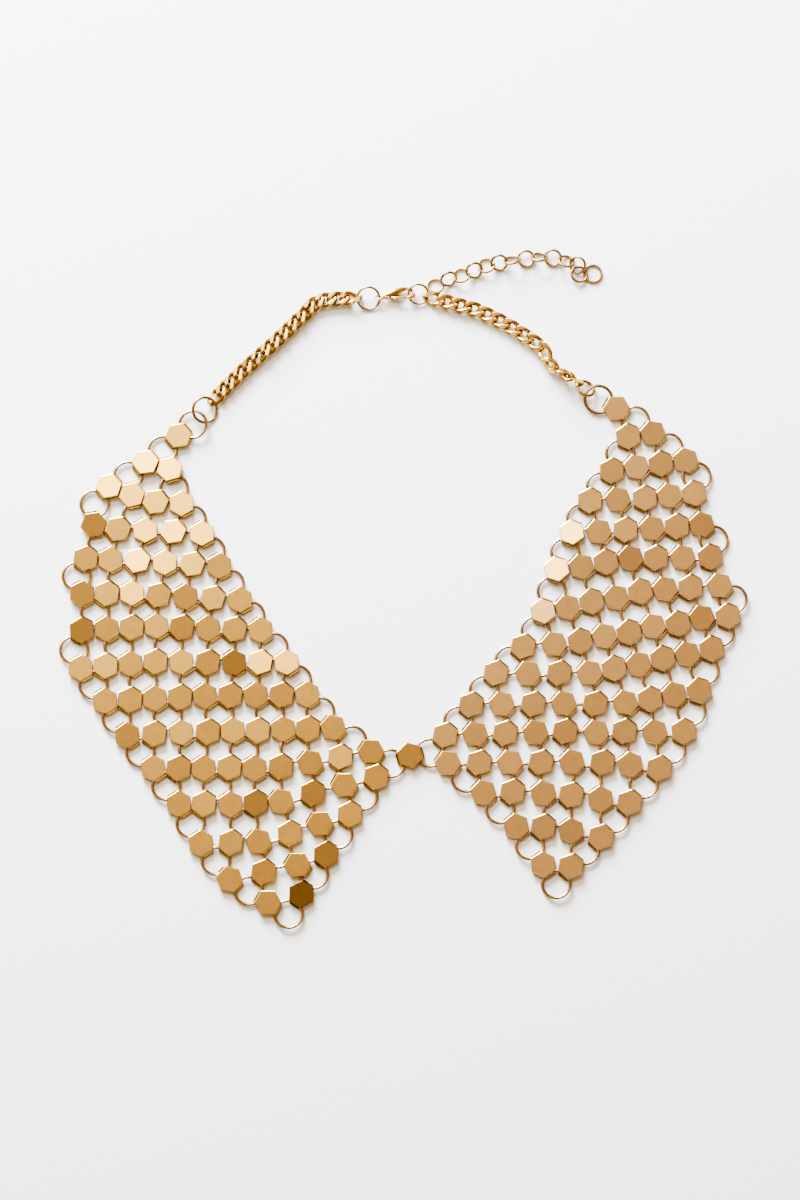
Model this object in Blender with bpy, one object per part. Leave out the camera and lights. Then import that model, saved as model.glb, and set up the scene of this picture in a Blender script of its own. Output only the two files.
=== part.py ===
"""A bib necklace laid flat, in metres, +Z up, with the floor at Z 0.

Two wings of hexagonal plates on wire rings meet at a centre plate. Chains lead from the wings
to a lobster clasp, and an extender chain hangs from the ring that the clasp closes on.
"""

import math

import bmesh
import bpy
from mathutils import Matrix, Vector

# Stamped plates, with their edges folded under
PLATE_FLATS = 0.0077
PLATE_HEIGHT = 0.0020
PLATE_GAP = 0.00095
PITCH = PLATE_FLATS + PLATE_GAP

# Wire rings that run under the plates' edges
MESH_WIRE_RADIUS = 0.00045
TAB_DEPTH = 0.00110
RING_TO_PLATE = 0.85 * PITCH
MESH_RING_RADIUS = RING_TO_PLATE - PLATE_FLATS / 2 + TAB_DEPTH
MESH_RING_Z = PLATE_HEIGHT / 2
EDGE_RING_SHIFT = 0.30 * PITCH
TIP_RING_SHIFT = 0.77 * PITCH
WIRE_GRIP = 0.00060
UNDER_PLATE = 0.00160
PLATE_PLAY = 0.00060
SETTLING_ROUNDS = 80
RING_SIDES = 10
WIRE_SIDES = 5
HIDDEN_SHARE = 0.3

# Free clearance between pieces that aren't soldered
CLEARANCE = 0.0003

# Rings between a wing's topmost mesh ring and its chain
TOP_WIRE_RADIUS = 0.00048
LEFT_TOP_RING_RADIUS = 0.00415
RIGHT_TOP_RING_RADIUS = 0.00305
LEFT_TOP_RING_PLAY = 0.0014
RIGHT_TOP_RING_PLAY = 0.0009
TOP_RING_CLEARANCE = 0.00045
TOP_MESH_RING_RISE = math.radians(7)
TOP_MESH_RING_ROLL = math.radians(6)

# Flattened twisted-link chains and the extender chain
CURB_WIDTH = 0.0050
CURB_THICKNESS = 0.0028
EXTENDER_WIDTH = 0.0046
EXTENDER_THICKNESS = 0.0030
CHAIN_END_SHARE = 0.6
CHAIN_STEP = 0.006
CHAIN_TUBE_RESOLUTION = 2
CURVE_PARTS = 8

# Lobster clasp, in its own frame: U runs from eye to nose, V from gate to back, W is its axis
CLASP_ROLL = math.radians(40)
CLASP_HEADING = math.radians(5)
CLASP_AXIS_Z = 0.0018
EYE_RADIUS = 0.0012
EYE_WIRE_RADIUS = 0.00038
CLAW_LENGTH = 0.0121
CLAW_REACH = 0.0017
CLAW_RADIUS = 0.0012
PIN_RADIUS = 0.0003
PIN_LENGTH = 0.0020
PIN_CLEARANCE = 0.00025
KNUCKLE_RADIUS = 0.00085
LEVER_THICKNESS = 0.0007
GATE_WIDTH = 0.0009
THUMB_TAB = 0.0009
THUMB_TAB_SHARES = (0.24, 0.34, 0.42, 0.50)
SLOT_LENGTH = 0.0048
SLOT_DEPTH = 0.0048

# Rings at the clasp and at the extender's end
EYE_RING_RADIUS = 0.00375
EYE_RING_WIRE_RADIUS = 0.00038
EYE_RING_ROLL = math.radians(20)
TONGUE_RING_RADIUS = 0.00328
TONGUE_RING_WIRE_RADIUS = 0.000375
TONGUE_RING_ROLL = math.radians(15)
END_RING_RADIUS = 0.00295
END_RING_WIRE_RADIUS = 0.00045

# Rows of plates from the shoulder down to the tip. Columns count inwards to the neck, and a
# row's spacing changes at its turn. Places are shares of the pitch from the centre plate:
# first, turn, last, outer x, outer y, turn x, turn y, inner x, inner y
LEFT_ROWS = (
    (0, 0, 0, -8.95, 12.70, -8.95, 12.70, -8.95, 12.70),
    (-1, 0, 0, -10.20, 11.60, -9.30, 11.35, -9.30, 11.35),
    (-2, 0, 1, -11.60, 10.65, -9.90, 10.00, -8.80, 9.95),
    (-2, -1, 2, -12.20, 9.15, -11.30, 8.95, -8.05, 8.80),
    (-2, -1, 3, -12.50, 7.80, -11.55, 7.75, -7.35, 7.50),
    (-2, 0, 4, -12.60, 6.40, -10.75, 6.40, -6.55, 6.15),
    (-2, 1, 5, -12.60, 4.95, -9.80, 5.10, -5.75, 4.95),
    (-2, 1, 6, -12.65, 3.45, -9.80, 3.70, -4.75, 3.65),
    (-1, 3, 7, -11.70, 2.15, -7.90, 2.35, -3.95, 2.40),
    (0, 3, 8, -10.85, 0.80, -7.75, 0.95, -2.95, 1.10),
    (1, 6, 9, -9.85, -0.50, -5.00, -0.50, -1.50, 0.15),
    (2, 6, 9, -8.85, -1.90, -4.95, -1.80, -1.30, -0.85),
    (3, 5, 8, -8.00, -3.45, -5.75, -3.45, -2.30, -2.30),
    (4, 6, 7, -6.90, -4.85, -4.30, -4.30, -3.20, -3.85),
    (5, 6, 6, -5.45, -5.75, -4.15, -5.40, -4.15, -5.40),
)
RIGHT_ROWS = (
    (0, 0, 0, 8.00, 13.80, 8.00, 13.80, 8.00, 13.80),
    (-1, 0, 0, 9.40, 12.80, 8.45, 12.70, 8.45, 12.70),
    (-2, 0, 1, 10.60, 11.70, 8.80, 11.45, 7.80, 11.30),
    (-2, 0, 2, 10.95, 10.40, 9.10, 10.20, 6.95, 10.10),
    (-2, 0, 3, 11.25, 9.15, 9.35, 9.00, 6.25, 8.80),
    (-2, 1, 4, 11.55, 7.85, 8.45, 7.80, 5.70, 7.35),
    (-2, 0, 5, 11.95, 6.70, 9.70, 6.65, 5.20, 5.70),
    (-2, 5, 6, 12.25, 5.55, 5.60, 4.35, 4.35, 4.30),
    (-1, 4, 7, 11.55, 4.20, 6.95, 3.25, 3.30, 3.25),
    (0, 3, 8, 11.10, 2.55, 8.30, 2.05, 2.35, 2.00),
    (1, 5, 9, 10.50, 0.95, 5.95, 0.95, 1.35, 0.80),
    (2, 4, 9, 9.55, -0.50, 7.40, -0.25, 1.45, -0.30),
    (3, 6, 8, 8.40, -1.85, 5.05, -1.40, 2.80, -1.45),
    (4, 6, 7, 7.30, -3.20, 5.10, -2.80, 4.05, -2.75),
    (5, 6, 6, 6.15, -4.35, 5.10, -4.30, 5.10, -4.30),
)

# Rings that no four plates place: the topmost of each wing, and the two that hold the centre
# plate, by gap and column, in shares of the pitch
TOP_RING = (0, 0)
BRIDGE_RING = (11, 9)
LEFT_FREE_RINGS = {TOP_RING: (-8.40, 13.15), BRIDGE_RING: (-0.76, -0.30)}
RIGHT_FREE_RINGS = {TOP_RING: (7.30, 14.15), BRIDGE_RING: (0.76, 0.12)}

# Ways that the chains take, as chosen by hand, in shares of the pitch from the centre plate
LEFT_TOP_RING_PLACE = (-7.95, 13.70)
RIGHT_TOP_RING_PLACE = (6.65, 14.70)
CLASP_EYE_PLACE = (-1.18, 18.25)
LEFT_CURB_ROUTE = (
    (-7.35, 14.50), (-6.65, 15.15), (-5.90, 15.85), (-5.10, 16.60), (-4.20, 17.50), (-3.50, 18.10),
    (-2.75, 18.30),
)
RIGHT_CURB_ROUTE = (
    (1.40, 18.05), (2.05, 17.90), (2.70, 17.70), (3.95, 17.05), (5.10, 16.20), (5.40, 15.55),
    (5.85, 15.30),
)
EXTENDER_ROUTE = (
    (1.95, 19.15), (3.00, 19.60), (4.00, 19.75), (5.00, 19.90), (5.60, 19.90), (6.15, 19.70),
    (6.50, 19.50),
)
EXTENDER_END_PLACE = (7.10, 19.25)


def remove_everything():
    for old in list(bpy.data.objects):
        bpy.data.objects.remove(old, do_unlink=True)


def new_collection(name):
    collection = bpy.data.collections.new(name)
    bpy.context.scene.collection.children.link(collection)
    return collection


def gold(name, colour, roughness):
    """A gold-plated finish with its own colour and roughness."""
    material = bpy.data.materials.new(name)
    material.use_nodes = True
    surface = material.node_tree.nodes["Principled BSDF"]
    surface.inputs["Base Color"].default_value = (*colour, 1.0)
    surface.inputs["Metallic"].default_value = 1.0
    surface.inputs["Roughness"].default_value = roughness
    return material


def add_object(name, data, collection, material):
    new = bpy.data.objects.new(name, data)
    collection.objects.link(new)
    if material:
        data.materials.append(material)
    return new


def smooth(mesh):
    mesh.shade_smooth()
    mesh.set_sharp_from_angle(angle=math.radians(40))


def mesh_from_curve(curve_object):
    """The curve's own tube as a mesh with its caps welded on; the curve is removed."""
    bpy.context.view_layer.update()
    graph = bpy.context.evaluated_depsgraph_get()
    mesh = bpy.data.meshes.new_from_object(curve_object.evaluated_get(graph))
    shape = bmesh.new()
    shape.from_mesh(mesh)
    bmesh.ops.remove_doubles(shape, verts=shape.verts, dist=0.00001)
    bmesh.ops.recalc_face_normals(shape, faces=shape.faces)
    shape.to_mesh(mesh)
    shape.free()
    bpy.data.objects.remove(curve_object, do_unlink=True)
    return mesh


def tube_mesh(points, radii, depth, resolution):
    """A tube along the points, whose own radii are shares of the depth."""
    curve = bpy.data.curves.new("tube", "CURVE")
    curve.dimensions = "3D"
    curve.bevel_depth = depth
    curve.bevel_resolution = resolution
    curve.use_fill_caps = True
    spline = curve.splines.new("POLY")
    spline.points.add(len(points) - 1)
    for place, point, share in zip(spline.points, points, radii):
        place.co = (*point, 1.0)
        place.radius = share
    return mesh_from_curve(add_object("tube", curve, CUTTERS, None))


def outline_mesh(outlines, thickness):
    """A flat plate from closed outlines in XY, where an outline inside another is a hole."""
    curve = bpy.data.curves.new("outline", "CURVE")
    curve.dimensions = "2D"
    curve.fill_mode = "BOTH"
    curve.extrude = thickness / 2
    for outline in outlines:
        spline = curve.splines.new("POLY")
        spline.points.add(len(outline) - 1)
        spline.use_cyclic_u = True
        for place, (x, y) in zip(spline.points, outline):
            place.co = (x, y, 0.0, 1.0)
    return mesh_from_curve(add_object("outline", curve, CUTTERS, None))


def torus_mesh(radius, wire_radius):
    bpy.ops.mesh.primitive_torus_add(
        major_segments=RING_SIDES, minor_segments=WIRE_SIDES,
        major_radius=radius, minor_radius=wire_radius,
    )
    made = bpy.context.object
    mesh = made.data
    bpy.data.objects.remove(made, do_unlink=True)
    return mesh


def side_arcs_mesh(torus, radius):
    """A ring's two stretches that show beside its plates; the rest is inside their folds."""
    shape = bmesh.new()
    shape.from_mesh(torus)
    between = [face for face in shape.faces if abs(face.calc_center_median().x) < HIDDEN_SHARE * radius]
    bmesh.ops.delete(shape, geom=between, context="FACES")
    bmesh.ops.holes_fill(shape, edges=shape.edges, sides=WIRE_SIDES)
    mesh = bpy.data.meshes.new("side_arcs")
    shape.to_mesh(mesh)
    shape.free()
    return mesh


def hexagon_mesh(flats, height):
    """A hexagonal plate on Z 0, with one side facing +X."""
    shape = bmesh.new()
    corner_radius = flats / math.sqrt(3)
    bmesh.ops.create_cone(
        shape, cap_ends=True, segments=6, radius1=corner_radius, radius2=corner_radius,
        depth=height, matrix=Matrix.Translation((0, 0, height / 2)),
    )
    mesh = bpy.data.meshes.new("hexagon")
    shape.to_mesh(mesh)
    shape.free()
    return mesh


def merged_mesh(name, pieces):
    """One mesh that holds a copy of each (mesh, matrix)."""
    shape = bmesh.new()
    for mesh, matrix in pieces:
        start = len(shape.verts)
        shape.from_mesh(mesh)
        shape.verts.ensure_lookup_table()
        bmesh.ops.transform(shape, matrix=matrix, verts=shape.verts[start:])
    mesh = bpy.data.meshes.new(name)
    shape.to_mesh(mesh)
    shape.free()
    return mesh


def boolean(target, tool_mesh, operation):
    """Join the tool's solid to the target, or cut it away."""
    tool = add_object(f"{target.name}_tool", tool_mesh, CUTTERS, None)
    tool.hide_render = True
    tool.display_type = "WIRE"
    modifier = target.modifiers.new("join" if operation == "UNION" else "cut", "BOOLEAN")
    modifier.operation = operation
    modifier.solver = "EXACT"
    modifier.object = tool


def flat(place):
    """A place of the plan, in shares of the pitch, as a point on the floor."""
    return Vector((place[0] * PITCH, place[1] * PITCH, 0.0))


def ring_matrix(centre, heading, rise=0.0, roll=0.0):
    """A ring laid flat at its centre, then lifted at its front end and rolled about its heading."""
    turned = Matrix.Rotation(heading, 4, "Z") @ Matrix.Rotation(roll, 4, "X")
    return Matrix.Translation(centre) @ turned @ Matrix.Rotation(-rise, 4, "Y")


def plate_places(rows):
    """Each plate's place on the floor, by row and column."""
    places = {}
    for number, row in enumerate(rows, 1):
        first, turn, last = row[:3]
        outer, bend, inner = flat(row[3:5]), flat(row[5:7]), flat(row[7:9])
        for column in range(first, turn):
            places[number, column] = outer.lerp(bend, (column - first) / (turn - first))
        for column in range(turn, last):
            places[number, column] = bend.lerp(inner, (column - turn) / (last - turn))
        places[number, last] = inner
    return places


def ring_above(row, column):
    return (row - 1, column if (column + row - 1) % 2 == 0 else column - 1)


def ring_below(row, column):
    return (row, column if (column + row) % 2 == 0 else column - 1)


def middle(places):
    return sum(places, Vector()) / len(places)


def ring_corners(gap, column):
    return [(gap, column), (gap, column + 1), (gap + 1, column), (gap + 1, column + 1)]


def held_corners(plates, gap, column):
    """The plates that a ring joins: two above it and two below, or fewer at the edge."""
    return [corner for corner in ring_corners(gap, column) if corner in plates]


def ring_place(plates, gap, column):
    """A ring lies amid the four plates that it joins, or past the mesh's edge on fewer."""
    known = [plates[corner] for corner in held_corners(plates, gap, column)]
    if len(known) == 4:
        return middle(known)
    missing = [corner for corner in ring_corners(gap, column) if corner not in plates]
    if len(missing) == 1:
        row, side = missing[0]
        other_row = 2 * gap + 1 - row
        other_side = 2 * column + 1 - side
        fourth = plates[row, other_side] + plates[other_row, side] - plates[other_row, other_side]
        return middle(known + [fourth])
    if missing[0][0] == missing[1][0]:
        behind = [plates[gap - 1, column], plates[gap - 1, column + 1]]
        shift = TIP_RING_SHIFT
    else:
        held = column + 1 if missing[0][1] == column else column
        inside = column + 2 if held == column + 1 else column - 1
        behind = [plates[gap, inside], plates[gap + 1, inside]]
        shift = EDGE_RING_SHIFT
    outwards = (middle(known) - middle(behind)).normalized()
    return middle(known) + outwards * shift


def ring_places(plates, free_rings):
    """Each ring's place on the floor, by gap and column."""
    keys = {ring_above(*key) for key in plates} | {ring_below(*key) for key in plates}
    places = {}
    for key in sorted(keys):
        places[key] = flat(free_rings[key]) if key in free_rings else ring_place(plates, *key)
    return places


def part_pair(places, first, others, second, nearest, farthest, held):
    """Move two pieces along the line between them until their distance is allowed."""
    line = others[second] - places[first]
    wrong = line.length - min(max(line.length, nearest), farthest)
    shift = line.normalized() * wrong
    if second in held:
        places[first] += shift
    else:
        places[first] += shift / 2
        others[second] -= shift / 2


def settle(plates, rings, free_rings):
    """Let the mesh lie as its wires allow: none stretches, and no plate lies on another."""
    nearest = MESH_RING_RADIUS + UNDER_PLATE
    farthest = MESH_RING_RADIUS + PLATE_FLATS / 2 - WIRE_GRIP
    apart = PLATE_FLATS + PLATE_PLAY
    beside = [(0, 1), (1, -1), (1, 0), (1, 1)]
    for _ in range(SETTLING_ROUNDS):
        for key in plates:
            part_pair(plates, key, rings, ring_above(*key), nearest, farthest, free_rings)
            part_pair(plates, key, rings, ring_below(*key), nearest, farthest, free_rings)
        for row, column in plates:
            for down, across in beside:
                other = (row + down, column + across)
                if other in plates:
                    part_pair(plates, (row, column), plates, other, apart, math.inf, ())


def ring_heading(plates, gap, column):
    """The way that the rows run past a ring."""
    for row in (gap, gap + 1):
        if (row, column) in plates and (row, column + 1) in plates:
            line = plates[row, column + 1] - plates[row, column]
            return math.atan2(line.y, line.x)
    side = column if (gap, column) in plates else column + 1
    line = plates[gap, side] - plates[gap + 1, side]
    return math.atan2(line.y, line.x) - math.pi / 2


def top_mesh_ring_matrix(centre, heading):
    """The topmost mesh ring, lifted off its plate at the end that the next ring hangs in."""
    lifted = centre + Vector((0, 0, MESH_RING_Z + MESH_RING_RADIUS * math.sin(TOP_MESH_RING_RISE)))
    return ring_matrix(lifted, heading, TOP_MESH_RING_RISE, -TOP_MESH_RING_ROLL)


def add_wing(name, rows, free_rings, top_place, material):
    """One wing of plates, fused to the rings under their edges; its bridge ring's matrix."""
    plates = plate_places(rows)
    rings = ring_places(plates, free_rings)
    settle(plates, rings, free_rings)
    plate = hexagon_mesh(PLATE_FLATS, PLATE_HEIGHT)
    plate_copies = []
    for (row, column), place in plates.items():
        line = rings[ring_below(row, column)] - rings[ring_above(row, column)]
        facing = Matrix.Rotation(math.atan2(line.y, line.x), 4, "Z")
        plate_copies.append((plate, Matrix.Translation(place) @ facing))
    torus = torus_mesh(MESH_RING_RADIUS, MESH_WIRE_RADIUS)
    side_arcs = side_arcs_mesh(torus, MESH_RING_RADIUS)
    ring_copies = []
    for key, place in rings.items():
        if key == TOP_RING:
            line = flat(top_place) - place
            ring_copies.append((torus, top_mesh_ring_matrix(place, math.atan2(line.y, line.x))))
        else:
            lifted = place + Vector((0, 0, MESH_RING_Z))
            shown = side_arcs if len(held_corners(plates, *key)) == 4 else torus
            ring_copies.append((shown, ring_matrix(lifted, ring_heading(plates, *key))))
    wing = add_object(name, merged_mesh(name, plate_copies), NECKLACE, material)
    boolean(wing, merged_mesh(f"{name}_rings", ring_copies), "UNION")
    bridge = rings[BRIDGE_RING] + Vector((0, 0, MESH_RING_Z))
    return ring_matrix(bridge, ring_heading(plates, *BRIDGE_RING))


def add_centre_plate(left_bridge, right_bridge, material):
    """The plate that joins the wings, with a channel round each wing's innermost ring."""
    line = right_bridge.translation - left_bridge.translation
    facing = Matrix.Rotation(math.atan2(line.y, line.x), 4, "Z")
    mesh = merged_mesh("centre_plate", [(hexagon_mesh(PLATE_FLATS, PLATE_HEIGHT), facing)])
    plate = add_object("centre_plate", mesh, NECKLACE, material)
    channel = torus_mesh(MESH_RING_RADIUS, MESH_WIRE_RADIUS + CLEARANCE)
    channels = [(channel, left_bridge), (channel, right_bridge)]
    boolean(plate, merged_mesh("channels", channels), "DIFFERENCE")
    return plate


def add_ring(name, radius, wire_radius, matrix, material):
    mesh = torus_mesh(radius, wire_radius)
    smooth(mesh)
    ring = add_object(name, mesh, NECKLACE, material)
    ring.matrix_world = matrix
    return ring


def add_top_ring(name, free_rings, place, radius, play, material):
    """The ring that links a wing's topmost mesh ring to its chain; its centre is returned.

    It passes under the mesh ring on one side and over it on the other.
    """
    mesh_ring = flat(free_rings[TOP_RING])
    towards = (flat(place) - mesh_ring).normalized()
    wires = MESH_WIRE_RADIUS + TOP_WIRE_RADIUS
    apart = MESH_RING_RADIUS + radius - wires - play
    along = (apart**2 + MESH_RING_RADIUS**2 - radius**2) / (2 * apart)
    across = math.sqrt(MESH_RING_RADIUS**2 - along**2)
    height = MESH_RING_Z + (MESH_RING_RADIUS + along) * math.sin(TOP_MESH_RING_RISE)
    roll = math.asin((wires + TOP_RING_CLEARANCE) / across - math.sin(TOP_MESH_RING_ROLL))
    centre = mesh_ring + towards * apart + Vector((0, 0, height))
    matrix = ring_matrix(centre, math.atan2(towards.y, towards.x), 0.0, roll)
    add_ring(name, radius, TOP_WIRE_RADIUS, matrix, material)
    return centre


def curve_through(points, step):
    """Evenly spaced points of a smooth curve through the given ones."""
    ends = [points[0] * 2 - points[1]] + points + [points[-1] * 2 - points[-2]]
    fine = []
    for before, start, end, after in zip(ends, ends[1:], ends[2:], ends[3:]):
        for part in range(CURVE_PARTS):
            t = part / CURVE_PARTS
            bend = (before * 2 - start * 5 + end * 4 - after) * t**2
            twist = (start * 3 - before - end * 3 + after) * t**3
            fine.append((start * 2 + (end - before) * t + bend + twist) / 2)
    fine.append(points[-1])
    length = sum((b - a).length for a, b in zip(fine, fine[1:]))
    count = max(2, round(length / step))
    spaced, run, target = [fine[0]], 0.0, length / count
    for a, b in zip(fine, fine[1:]):
        span = (b - a).length
        while run + span >= target * len(spaced) and len(spaced) < count:
            spaced.append(a.lerp(b, (target * len(spaced) - run) / span))
        run += span
    return spaced + [points[-1]]


def beside_ring(centre, towards, radius, wire_radius):
    """The point where a chain ends, just outside a ring."""
    level = Vector((centre.x, centre.y, 0.0))
    away = (towards - level).normalized()
    return level + away * (radius + wire_radius + CLEARANCE)


def add_chain(name, start, route, end, width, thickness, material):
    """A chain's outer form: a flattened tube on the floor that narrows at its two ends."""
    points = curve_through([start] + [flat(place) for place in route] + [end], CHAIN_STEP)
    shares = [CHAIN_END_SHARE] + [1.0] * (len(points) - 2) + [CHAIN_END_SHARE]
    mesh = tube_mesh(points, shares, width / 2, CHAIN_TUBE_RESOLUTION)
    flattened = Matrix.Diagonal((1.0, 1.0, thickness / width, 1.0))
    mesh.transform(Matrix.Translation((0, 0, thickness / 2)) @ flattened)
    smooth(mesh)
    return add_object(name, mesh, NECKLACE, material)


def clasp_matrix():
    turned = Matrix.Rotation(CLASP_HEADING, 4, "Z") @ Matrix.Rotation(-CLASP_ROLL, 4, "X")
    eye = flat(CLASP_EYE_PLACE) + Vector((0, 0, CLASP_AXIS_Z))
    return Matrix.Translation(eye) @ turned


def arc(centre, radius, start, end, steps):
    """Points of an arc in a plane, from one angle to another in degrees."""
    points = []
    for step in range(steps + 1):
        angle = math.radians(start + (end - start) * step / steps)
        points.append((centre[0] + radius * math.cos(angle), centre[1] + radius * math.sin(angle)))
    return points


# The claw's middle line from its neck over its back to its nose: U is a share of the claw's
# length from the eye's centre, V of its reach, and the radius of the claw's fullest radius
CLAW_SECTIONS = (
    (0.115, 0.00, 0.62),
    (0.250, 0.26, 1.00),
    (0.400, 0.56, 0.92),
    (0.565, 0.94, 0.64),
    (0.730, 1.03, 0.54),
    (0.870, 0.78, 0.52),
    (0.955, 0.12, 0.50),
    (0.935, -0.53, 0.48),
    (0.860, -0.85, 0.46),
    (0.765, -0.88, 0.42),
)
PIVOT_U = 0.25 * CLAW_LENGTH
PIVOT_V = -0.06 * CLAW_REACH
GATE_END_U = CLAW_SECTIONS[-1][0] * CLAW_LENGTH - CLEARANCE
GATE_END_V = CLAW_SECTIONS[-1][1] * CLAW_REACH
RING_HOLD_U = 0.81 * CLAW_LENGTH


def add_clasp_body(material):
    points = [(u * CLAW_LENGTH, v * CLAW_REACH, 0.0) for u, v, share in CLAW_SECTIONS]
    shares = [share for u, v, share in CLAW_SECTIONS]
    claw = tube_mesh(points, shares, CLAW_RADIUS, 2)
    smooth(claw)
    body = add_object("clasp_body", claw, NECKLACE, material)
    body.matrix_world = clasp_matrix()
    boolean(body, moved(slot_mesh(), body), "DIFFERENCE")
    boolean(body, moved(pin_mesh(), body), "UNION")
    boolean(body, moved(torus_mesh(EYE_RADIUS, EYE_WIRE_RADIUS), body), "UNION")
    return body


def moved(mesh, carrier):
    """The mesh put where its carrier is, because a cutter stands in world space."""
    mesh.transform(carrier.matrix_world)
    return mesh


def slot_mesh():
    """The slot that the lever's knuckle turns in, open towards the gate."""
    shape = bmesh.new()
    bmesh.ops.create_cube(shape, size=1.0)
    back = KNUCKLE_RADIUS + CLEARANCE
    size = (SLOT_LENGTH, SLOT_DEPTH, LEVER_THICKNESS + 2 * CLEARANCE, 1.0)
    centre = (PIVOT_U - back + SLOT_LENGTH / 2, PIVOT_V + back - SLOT_DEPTH / 2, 0.0)
    bmesh.ops.transform(shape, matrix=Matrix.Translation(centre) @ Matrix.Diagonal(size), verts=shape.verts)
    mesh = bpy.data.meshes.new("slot")
    shape.to_mesh(mesh)
    shape.free()
    return mesh


def pin_mesh():
    shape = bmesh.new()
    bmesh.ops.create_cone(
        shape, cap_ends=True, segments=10, radius1=PIN_RADIUS, radius2=PIN_RADIUS,
        depth=PIN_LENGTH, matrix=Matrix.Translation((PIVOT_U, PIVOT_V, 0.0)),
    )
    mesh = bpy.data.meshes.new("pin")
    shape.to_mesh(mesh)
    shape.free()
    return mesh


def add_clasp_lever(material):
    """The sprung gate: a knuckle on the pin, an arm to the nose and a thumb tab under it."""
    pivot = Vector((PIVOT_U, PIVOT_V))
    tip = Vector((GATE_END_U, GATE_END_V))
    slope = math.degrees(math.atan2(tip.y - pivot.y, tip.x - pivot.x))
    length = (tip - pivot).length
    half = GATE_WIDTH / 2
    meets = math.degrees(math.asin(half / KNUCKLE_RADIUS))
    outline = arc((0, 0), KNUCKLE_RADIUS, meets, 360 - meets, 12)
    tab = [share * length for share in THUMB_TAB_SHARES]
    outline += [(tab[0], -half), (tab[1], -half - THUMB_TAB)]
    outline += [(tab[2], -half - THUMB_TAB), (tab[3], -half)]
    outline += [(length, -half), (length, half)]
    hole = arc((0, 0), PIN_RADIUS + PIN_CLEARANCE, 0, 330, 11)
    mesh = outline_mesh([outline, hole], LEVER_THICKNESS)
    mesh.transform(Matrix.Rotation(math.radians(slope), 4, "Z"))
    smooth(mesh)
    lever = add_object("clasp_lever", mesh, NECKLACE, material)
    lever.matrix_world = clasp_matrix() @ Matrix.Translation((*pivot, 0.0))
    return lever


def clasp_point(u, v):
    return clasp_matrix() @ Vector((u, v, 0.0))


def centre_on_origin(objects):
    """Parent everything to an empty that puts the middle of the whole box over the origin."""
    bpy.context.view_layer.update()
    graph = bpy.context.evaluated_depsgraph_get()
    corners = []
    for item in objects:
        shape = item.evaluated_get(graph)
        corners += [item.matrix_world @ vertex.co for vertex in shape.data.vertices]
    low = [min(corner[axis] for corner in corners) for axis in range(3)]
    high = [max(corner[axis] for corner in corners) for axis in range(3)]
    stand = bpy.data.objects.new("necklace_stand", None)
    NECKLACE.objects.link(stand)
    stand.location = (-(low[0] + high[0]) / 2, -(low[1] + high[1]) / 2, -low[2])
    for item in list(objects) + list(CUTTERS.objects):
        item.parent = stand
    bpy.context.view_layer.update()


remove_everything()
NECKLACE = new_collection("bib_necklace")
CUTTERS = new_collection("cutters")
PLATE_GOLD = gold("satin_gold", (0.72, 0.47, 0.22), 0.34)
CENTRE_GOLD = gold("centre_satin_gold", (0.66, 0.42, 0.19), 0.34)
RIGHT_GOLD = gold("right_satin_gold", (0.70, 0.45, 0.21), 0.34)
WIRE_GOLD = gold("polished_gold_wire", (0.80, 0.56, 0.30), 0.16)
CHAIN_GOLD = gold("polished_gold_chain", (0.82, 0.60, 0.33), 0.18)
CLASP_GOLD = gold("polished_gold_clasp", (0.84, 0.63, 0.36), 0.14)
LEVER_GOLD = gold("polished_gold_lever", (0.86, 0.65, 0.38), 0.14)

left_bridge_ring = add_wing(
    "left_mesh_wing", LEFT_ROWS, LEFT_FREE_RINGS, LEFT_TOP_RING_PLACE, PLATE_GOLD,
)
right_bridge_ring = add_wing(
    "right_mesh_wing", RIGHT_ROWS, RIGHT_FREE_RINGS, RIGHT_TOP_RING_PLACE, RIGHT_GOLD,
)
add_centre_plate(left_bridge_ring, right_bridge_ring, CENTRE_GOLD)

left_top = add_top_ring(
    "left_top_ring", LEFT_FREE_RINGS, LEFT_TOP_RING_PLACE, LEFT_TOP_RING_RADIUS,
    LEFT_TOP_RING_PLAY, WIRE_GOLD,
)
right_top = add_top_ring(
    "right_top_ring", RIGHT_FREE_RINGS, RIGHT_TOP_RING_PLACE, RIGHT_TOP_RING_RADIUS,
    RIGHT_TOP_RING_PLAY, WIRE_GOLD,
)

add_clasp_body(CLASP_GOLD)
add_clasp_lever(LEVER_GOLD)
ahead = (clasp_point(1.0, 0.0) - clasp_point(0.0, 0.0)).normalized()
eye_ring_centre = clasp_point(0.0, 0.0) - ahead * EYE_RING_RADIUS
eye_ring_matrix = ring_matrix(eye_ring_centre, CLASP_HEADING, 0.0, EYE_RING_ROLL)
add_ring("clasp_eye_ring", EYE_RING_RADIUS, EYE_RING_WIRE_RADIUS, eye_ring_matrix, WIRE_GOLD)
tongue_ring_centre = clasp_point(RING_HOLD_U, 0.0) + ahead * TONGUE_RING_RADIUS
tongue_ring_matrix = ring_matrix(tongue_ring_centre, CLASP_HEADING, 0.0, TONGUE_RING_ROLL)
add_ring("tongue_ring", TONGUE_RING_RADIUS, TONGUE_RING_WIRE_RADIUS, tongue_ring_matrix, WIRE_GOLD)

end_ring_centre = flat(EXTENDER_END_PLACE) + Vector((0, 0, END_RING_WIRE_RADIUS))
add_ring(
    "extender_end_ring", END_RING_RADIUS, END_RING_WIRE_RADIUS, ring_matrix(end_ring_centre, 0.0),
    WIRE_GOLD,
)

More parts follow.
